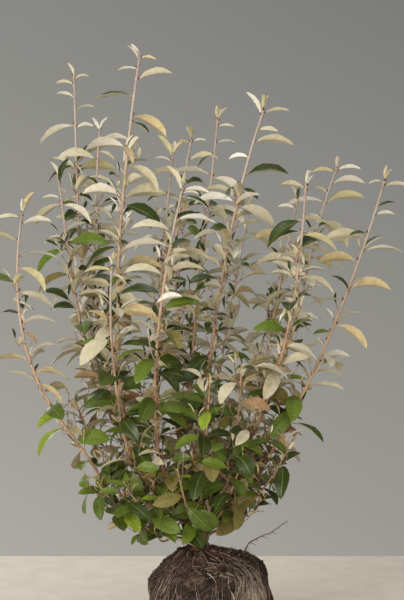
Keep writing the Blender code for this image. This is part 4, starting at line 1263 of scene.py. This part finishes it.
def place_hair_roots(finishes):
    """Hair roots that stand loose out of the ball's top: each rises off it, leans out and curls over."""
    draw = np.random.default_rng(29)
    count, steps = HAIR_ROOTS, np.linspace(0, 1, 8)[None, :, None]
    turn = draw.normal(-0.1, 1.1, count)
    foot = ball_point(turn, draw.uniform(0.74, 0.97, count), -0.5)
    length = draw.gamma(3.0, 2.6, count).clip(3, 17)[:, None, None]
    lean = np.stack([np.cos(turn), np.sin(turn), draw.uniform(0.3, 2.4, count)], axis=-1)
    lean = lean + draw.normal(0, 0.45, (count, 3))
    curl = draw.normal(0, 0.5, (count, 3)) - np.array([0, 0, 0.35])
    lines = foot[:, None] + length * (steps * unit(lean)[:, None] + steps**2 * curl[:, None] * 0.6)
    radius = draw.uniform(0.22, 0.5, (count, 1)) * (1 - 0.7 * steps[..., 0])
    tone = draw.choice([0, 1, 2, 3], count, p=[0.34, 0.26, 0.28, 0.12])
    return new_piece("hair_roots", [round_sections(lines, radius, 4)[0]], finishes, [tone])


def place_torn_roots(finishes):
    """Torn roots low in front of the trunk: short pale splinters that hang down the slope and spread."""
    draw = np.random.default_rng(41)
    count, steps = TORN_ROOTS, np.linspace(0, 1, 8)
    turn = np.radians(TORN_BEARING) + draw.normal(0, 0.17, count)
    share = draw.uniform(0.66, 0.9, count)
    turns = turn[:, None] + draw.normal(0.0, 0.12, count)[:, None] * steps
    shares = share[:, None] - draw.normal(0.03, 0.035, count)[:, None] * steps
    radius = draw.gamma(2.0, 0.24, count).clip(0.25, 1.3)[:, None] * (1 - 0.8 * steps**2)
    lift = radius * 0.4 + draw.uniform(-1.5, 4, count)[:, None] * np.sin(steps * 2.4)
    tone = draw.choice([0, 1, 2], count, p=[0.3, 0.3, 0.4])
    return new_piece("torn_roots", [root_paths(turns, shares, lift, radius, 5)], finishes, [tone])


def place_neck_roots(finishes):
    """The thicker roots that spread from the trunk's foot over the top of the ball and go down into it."""
    draw = np.random.default_rng(12)
    count, steps = NECK_ROOTS, np.linspace(0, 1, 26)
    turn = np.linspace(0, 2 * np.pi, count, endpoint=False) + draw.uniform(-0.1, 0.1, count)
    length = draw.uniform(0.14, 0.5, count)
    curl = draw.normal(0, 0.5, count)
    weave = np.sin(steps * draw.uniform(4, 10, (count, 1)) + draw.uniform(0, 6, (count, 1)))
    turns = turn[:, None] + curl[:, None] * steps**1.5 + 0.05 * weave
    shares = 0.985 - length[:, None] * steps
    radius = draw.uniform(1.0, 2.7, count)[:, None] * (1 - 0.72 * steps)
    lift = radius * 0.7 + 0.8 * weave * steps - 3.2 * steps**4
    tone = draw.choice([1, 2, 3], count, p=[0.5, 0.38, 0.12])
    return new_piece("neck_roots", [root_paths(turns, shares, lift, radius, 8)], finishes, [tone])


def place_crumbs(finish):
    """Crumbs of soil on the top of the ball: flattened lumps, each drawn well out of round by noise."""
    draw = np.random.default_rng(5)
    count = CRUMBS
    turn, share = draw.uniform(0, 2 * np.pi, count), 1 - 0.46 * draw.random(count) ** 1.5
    size = draw.gamma(2.0, 0.55, count).clip(0.5, 3.4)
    size = size + (draw.random(count) < 0.09) * draw.uniform(0.8, 3.4, count)
    place = ball_point(turn, share, 0.3 + size * 0.1)
    steps = np.array([-0.95, -0.5, 0.1, 0.6, 0.95])
    upward = unit(draw.normal(0, 0.5, (count, 3)) + np.array([0, 0, 1.0]))
    lines = place[:, None] + upward[:, None] * steps[None, :, None] * (0.75 * size)[:, None, None]
    grid, spoke = round_sections(lines, np.sqrt(1 - steps**2)[None] * size[:, None], 6)
    grid = grid + spoke * (0.62 * size)[:, None, None, None] * value_noise(grid, 1.3, 17)[..., None]
    relief = 0.2 + 1.1 * value_noise(grid, 3, 23)
    return new_piece("soil_crumbs", [grid], [finish], values={"relief": [relief]})


def place_stray_root(line, finishes):
    """The stray root and its side roots, with finer ones between them, all inside the model's reach."""
    places = np.array(line, float)
    path = curve_through(places, np.linspace(0, len(places) - 1, 70))
    path = np.concatenate([path[:1] - unit(path[1:2] - path[:1]) * 4, path])
    path += 0.5 * np.stack([value_noise(path + shift, 7, 19) for shift in (0, 31, 57)], axis=-1)
    last = len(STRAY_ROOT_RADII) - 1
    radius = np.interp(np.linspace(0, last, len(path)), range(last + 1), STRAY_ROOT_RADII)
    grids = [round_sections(path[None], radius[None] * 0.95, 9)[0]]
    draw = np.random.default_rng(8)
    feet = path[draw.integers(8, 66, SIDE_ROOTS)]
    spans = ((0.1, 0.9), (-0.8, 0.8), (-0.7, 0.6))
    heading = unit(np.stack([draw.uniform(*span, SIDE_ROOTS) for span in spans], axis=-1))
    along = np.linspace(0, 1, 7)
    fine = feet[:, None] + heading[:, None] * (along[None] * draw.uniform(4, 12, (SIDE_ROOTS, 1)))[..., None]
    fine[..., 2] -= 1.6 * along**2
    grids.append(round_sections(fine, 0.42 * (1 - 0.7 * along)[None] * np.ones((SIDE_ROOTS, 1)), 5)[0])
    for a, b in ROOTLETS:
        side = np.array(a) + (np.array(b, float) - a) * along[:, None]
        side[:, 2] += 0.8 * np.sin(along * 3)
        grids.append(round_sections(side[None], np.linspace(0.75, 0.35, 7)[None], 6)[0])
    return new_piece("stray_root_bark", grids, finishes, [np.ones(len(grid)) for grid in grids])


def linear(colour):
    """An sRGB hex colour as the linear red, green, blue and alpha that a shader takes."""
    channels = [int(colour[i : i + 2], 16) / 255 for i in (1, 3, 5)]
    return tuple(c / 12.92 if c <= 0.04045 else ((c + 0.055) / 1.055) ** 2.4 for c in channels) + (1.0,)


def add_node(tree, kind, inputs, output=0, stops=(), **settings):
    """Adds a node with its settings and links, and gives the socket of its output.

    An input gets a value, a hex colour or the socket that feeds it. stops are a ramp's places and colours.
    """
    node = tree.nodes.new("ShaderNode" + kind)
    for key, value in settings.items():
        setattr(node, key, value)
    for key, value in inputs.items():
        if isinstance(value, bpy.types.NodeSocket):
            tree.links.new(value, node.inputs[key])
        else:
            node.inputs[key].default_value = linear(value) if isinstance(value, str) else value
    while stops and len(node.color_ramp.elements) < len(stops):
        node.color_ramp.elements.new(0.5)
    for i, (place, colour) in enumerate(stops):
        node.color_ramp.elements[i].position = place
        node.color_ramp.elements[i].color = linear(colour)
    return node.outputs[output]


def new_finish(name, colour, roughness, sockets=None):
    """A Principled material: (material, node tree, the place on the piece that its patterns read)."""
    material = bpy.data.materials.new(name)
    material.use_nodes = True
    material.diffuse_color = linear(colour)
    tree = material.node_tree
    shader = tree.nodes["Principled BSDF"]
    for key, value in {"Base Color": linear(colour), "Roughness": roughness, **(sockets or {})}.items():
        shader.inputs[key].default_value = value
    return material, tree, add_node(tree, "TexCoord", {}, "Object")


def dress(tree, colour, height, strength, depth):
    """Feeds a finish its colour, and a height as relief of this depth in millimetres."""
    shader = tree.nodes["Principled BSDF"]
    relief = add_node(tree, "Bump", {"Height": height, "Strength": strength, "Distance": depth * MM})
    tree.links.new(colour, shader.inputs["Base Color"])
    tree.links.new(relief, shader.inputs["Normal"])


def leaf_skin(name, colour, shade, vein, vein_strength, roughness, relief, sockets):
    """One side of a leaf: its own colour, mottled towards `shade`, with nine pairs of side veins.

    The blade's mottles are about 9 mm and its scales about 0.3 mm, drawn at 1.6 mm so that they show.
    """
    material, tree, place = new_finish(name, colour, roughness, sockets)
    mottle = add_node(tree, "TexNoise", {"Vector": place, "Scale": 1000 / 9, "Detail": 2.0})
    scales = add_node(tree, "TexNoise", {"Vector": place, "Scale": 1000 / 1.6, "Detail": 1.0})
    blade = add_node(tree, "UVMap", {}, uv_map="blade")
    along = add_node(tree, "SeparateXYZ", {"Vector": blade}, "X")
    off_rib = add_node(tree, "Math", {0: along.node.outputs["Y"], 1: 0.5}, operation="SUBTRACT")
    off_rib = add_node(tree, "Math", {0: off_rib}, operation="ABSOLUTE")
    slant = add_node(tree, "Math", {0: off_rib, 1: -0.26, 2: along}, operation="MULTIPLY_ADD")
    waves = add_node(tree, "Math", {0: slant, 1: 2 * math.pi * 9}, operation="MULTIPLY")
    waves = add_node(tree, "Math", {0: waves}, operation="SINE")
    veins = add_node(tree, "MapRange", {"Value": waves, "From Min": 0.55, "From Max": 1.0})
    spread = add_node(tree, "MapRange", {"Value": mottle, "From Min": 0.35, "From Max": 0.7, "To Max": 0.8})
    mottled = add_node(tree, "Mix", {0: spread, 6: colour, 7: shade}, 2, data_type="RGBA")
    strength = add_node(tree, "Math", {0: veins, 1: vein_strength}, operation="MULTIPLY")
    veined = add_node(tree, "Mix", {0: strength, 6: mottled, 7: vein}, 2, data_type="RGBA")
    height = add_node(tree, "Math", {0: veins, 1: relief, 2: scales}, operation="MULTIPLY_ADD")
    # A pale, scurfy side is smoother than a green, leathery one.
    dress(tree, veined, height, 0.3 if relief < 0 else 0.1, 0.22)
    return material


def small_part(name, colour, shade, roughness, cell):
    """A plain dry or woody finish: two near colours mottled in cells of this many millimetres."""
    material, tree, place = new_finish(name, colour, roughness)
    mottle = add_node(tree, "TexNoise", {"Vector": place, "Scale": 1000 / cell, "Detail": 3.0})
    spread = add_node(tree, "MapRange", {"Value": mottle, "From Min": 0.35, "From Max": 0.65})
    mottled = add_node(tree, "Mix", {0: spread, 6: colour, 7: shade}, 2, data_type="RGBA")
    dress(tree, mottled, mottle, 0.4, 0.3)
    return material


def cane_bark(name, stops):
    """Bark of the year's growth, thin and silky, with pale scurf. The stops are by metres from the tip."""
    material, tree, place = new_finish(name, stops[2][1], 0.5, {"Sheen Weight": 0.15})
    age = add_node(tree, "Attribute", {}, "Fac", attribute_name="from_tip")
    # Stretched up the stem: streaks about 1.2 mm wide and 7 mm tall.
    streaked = add_node(tree, "Mapping", {"Vector": place, "Scale": (1000 / 1.2, 1000 / 1.2, 1000 / 7)})
    streaks = add_node(tree, "TexNoise", {"Vector": streaked, "Scale": 1.0, "Detail": 3.0})
    patches = add_node(tree, "TexNoise", {"Vector": place, "Scale": 1000 / 14, "Detail": 2.0})
    shifted = add_node(tree, "Math", {0: patches, 1: 0.16, 2: age}, operation="MULTIPLY_ADD")
    tone = add_node(tree, "ValToRGB", {"Fac": shifted}, stops=stops)
    fleck = add_node(tree, "MapRange", {"Value": streaks, "From Min": 0.45, "From Max": 0.7, "To Max": 0.6})
    flecked = add_node(tree, "Mix", {0: fleck, 6: tone, 7: "#CBB9A4"}, 2, data_type="RGBA")
    dress(tree, flecked, streaks, 0.5, 0.25)
    return material


def old_bark(name, stops, patch):
    """Bark of the trunk or boughs: ridges between dark cracks by the stops, matt, with scaly patches."""
    material, tree, place = new_finish(name, patch, 0.86)
    relief = add_node(tree, "Attribute", {}, "Fac", attribute_name="relief")
    patches = add_node(tree, "TexNoise", {"Vector": place, "Scale": 1000 / 9, "Detail": 4.0})
    # Fibres about 0.9 mm wide and 4 mm tall.
    grain = add_node(tree, "Mapping", {"Vector": place, "Scale": (1000 / 0.9, 1000 / 0.9, 1000 / 4)})
    fibres = add_node(tree, "TexNoise", {"Vector": grain, "Scale": 1.0, "Detail": 3.0})
    tone = add_node(tree, "ValToRGB", {"Fac": relief}, stops=stops)
    spread = add_node(tree, "MapRange", {"Value": patches, "From Min": 0.45, "From Max": 0.65, "To Max": 0.5})
    patched = add_node(tree, "Mix", {0: spread, 6: tone, 7: patch}, 2, data_type="RGBA")
    dress(tree, patched, fibres, 0.6, 0.4)
    return material


def matted_soil():
    """Moist loam bound by roots: nearly black in its hollows, brown on the clods, with a greyer dry skin."""
    material, tree, place = new_finish("matted_loam", "#3A2A20", 0.93)
    relief = add_node(tree, "Attribute", {}, "Fac", attribute_name="relief")
    crumbs = add_node(tree, "TexVoronoi", {"Vector": place, "Scale": 1000 / 2.6})
    drier = add_node(tree, "TexNoise", {"Vector": place, "Scale": 1000 / 26, "Detail": 4.0})
    speck = add_node(tree, "TexNoise", {"Vector": place, "Scale": 1000 / 1.5, "Detail": 2.0})
    raised = add_node(tree, "Math", {0: speck, 1: 0.7, 2: relief}, operation="MULTIPLY_ADD")
    tone = add_node(tree, "ValToRGB", {"Fac": raised}, stops=SOIL_TONES)
    spread = add_node(tree, "MapRange", {"Value": drier, "From Min": 0.52, "From Max": 0.75, "To Max": 0.3})
    dried = add_node(tree, "Mix", {0: spread, 6: tone, 7: "#55463B"}, 2, data_type="RGBA")
    dress(tree, dried, crumbs, 0.8, 1.2)
    return material


def new_light(name, place, target, size, power, colour):
    """A large soft panel that faces its target."""
    data = bpy.data.lights.new(name, "AREA")
    data.shape = "RECTANGLE"
    data.size, data.size_y = size
    data.energy = power
    data.color = linear(colour)[:3]
    light = bpy.data.objects.new(name, data)
    light.location = place
    light.rotation_euler = (Vector(target) - Vector(place)).to_track_quat("-Z", "Y").to_euler()
    bpy.context.scene.collection.objects.link(light)


def build_wall():
    """A grey studio wall of light all round, darker upwards, and half as much darker to the right."""
    world = bpy.data.worlds.new("studio_grey")
    bpy.context.scene.world = world
    world.use_nodes = True
    tree = world.node_tree
    towards = add_node(tree, "TexCoord", {}, "Generated")
    slope = add_node(tree, "VectorMath", {0: towards, 1: (0.55, 0, 1)}, "Value", operation="DOT_PRODUCT")
    rise = add_node(tree, "MapRange", {"Value": slope, "From Min": -0.28, "From Max": 0.28})
    grey = add_node(tree, "ValToRGB", {"Fac": rise}, stops=WALL_TONES)
    tree.links.new(grey, tree.nodes["Background"].inputs["Color"])


def build_floor():
    """A thin square slab whose far edge is where the photograph's floor meets the backdrop."""
    square = np.array([(-1, -1), (1, -1), (1, 1), (-1, 1)]) * FLOOR_HALF
    heights = np.array([-FLOOR_THICKNESS, 0])
    grid = np.array([[[(x, y, z) for x, y in square] for z in heights]], float)
    floor = new_piece("floor", [grid], [small_part("pale_floor", "#D0C7B8", "#C7BEAE", 0.7, 60)], sharp=0.5)


def build_camera():
    """The camera at the photograph's viewing angle."""
    camera = bpy.data.cameras.new("camera")
    camera.sensor_width = SENSOR
    camera.lens = SENSOR * FOCAL_PIXELS / IMAGE_HEIGHT
    camera.clip_start, camera.clip_end = 0.05, 50
    holder = bpy.data.objects.new("camera", camera)
    holder.location = CAMERA_PLACE
    holder.rotation_euler = (math.radians(90) - CAMERA_DIP, 0, 0)
    bpy.context.scene.collection.objects.link(holder)
    bpy.context.scene.camera = holder


def main():
    bpy.context.scene.view_settings.view_transform = "Standard"
    build_wall()
    build_floor()
    for light in LIGHTS:
        new_light(*light)
    build_camera()

    boughs, canes, shoots, sprigs, root_line = grow_shrub()
    low_growth = shoots | sprigs
    order, half = list(canes.items()), len(canes) // 2
    left_canes, right_canes = dict(order[:half]), dict(order[half:])
    leaf_kinds = {key: leaf_skin(*side) for key, side in LEAF_SIDES.items()}
    leaf_kinds |= {key: small_part(key, *rib, 3) for key, rib in LEAF_RIBS.items()}
    soil = matted_soil()
    bough = old_bark("ridged_old_bark", BOUGH_TONES, "#7E583A")
    # The trunk's bark darkens towards its foot.
    stool = old_bark("soiled_trunk_bark", TRUNK_TONES, "#8E6A4A")
    cane = cane_bark("young_cane_bark", CANE_TONES)
    shoot = cane_bark("low_shoot_bark", SHOOT_TONES)
    bud = small_part("bud_scales", "#6B4128", "#4A2C1C", 0.6, 1.5)
    roots = [
        small_part("pale_roots", "#B3A594", "#948474", 0.8, 4),
        small_part("brown_roots", "#7C6351", "#584436", 0.8, 4),
        small_part("dark_roots", "#3C2B22", "#2A1E18", 0.85, 4),
        small_part("pinkish_roots", "#917466", "#75594B", 0.75, 4),
    ]
    torn = roots[:2] + [small_part("torn_root_wood", "#AE9780", "#8A7261", 0.8, 3)]

    # Each piece, a slot of the record, and the nodes that it stands for.
    for piece, slot, nodes in (
        (place_ball(soil), "matted_soil", ["root_ball"]),
        (place_fine_roots(roots), "matted_soil", ["root_ball"]),
        (place_hair_roots(roots), "matted_soil", ["root_ball"]),
        (place_neck_roots(roots), "root_wood", ["root_ball"]),
        (place_torn_roots(torn), "root_wood", ["root_ball"]),
        (place_crumbs(soil), "matted_soil", ["root_ball"]),
        (place_stray_root(root_line, roots), "root_wood", ["stray_root"]),
        (place_trunk(stool), "old_bark", ["trunk"]),
        (place_boughs(boughs, bough), "old_bark", ["bough_" + name for name in boughs]),
        (place_stems("cane_bark", canes, cane, sides=9, spacing=4, lead=7), "silver_leaf", canes),
        (place_stems("shoot_bark", low_growth, shoot, sides=8, spacing=4, lead=6), "green_leaf", shoots),
        (place_buds("cane_buds", canes, bud), "silver_leaf", canes),
        (place_buds("shoot_buds", low_growth, bud), "green_leaf", shoots),
        (place_leaves("left_cane_leaves", left_canes, leaf_kinds, seed=101), "silver_leaf", left_canes),
        (place_leaves("right_cane_leaves", right_canes, leaf_kinds, seed=303), "silver_leaf", right_canes),
        (place_leaves("shoot_leaves", low_growth, leaf_kinds, seed=202, low=True), "green_leaf", shoots),
    ):
        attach(piece, "root")
        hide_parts(*nodes)


main()
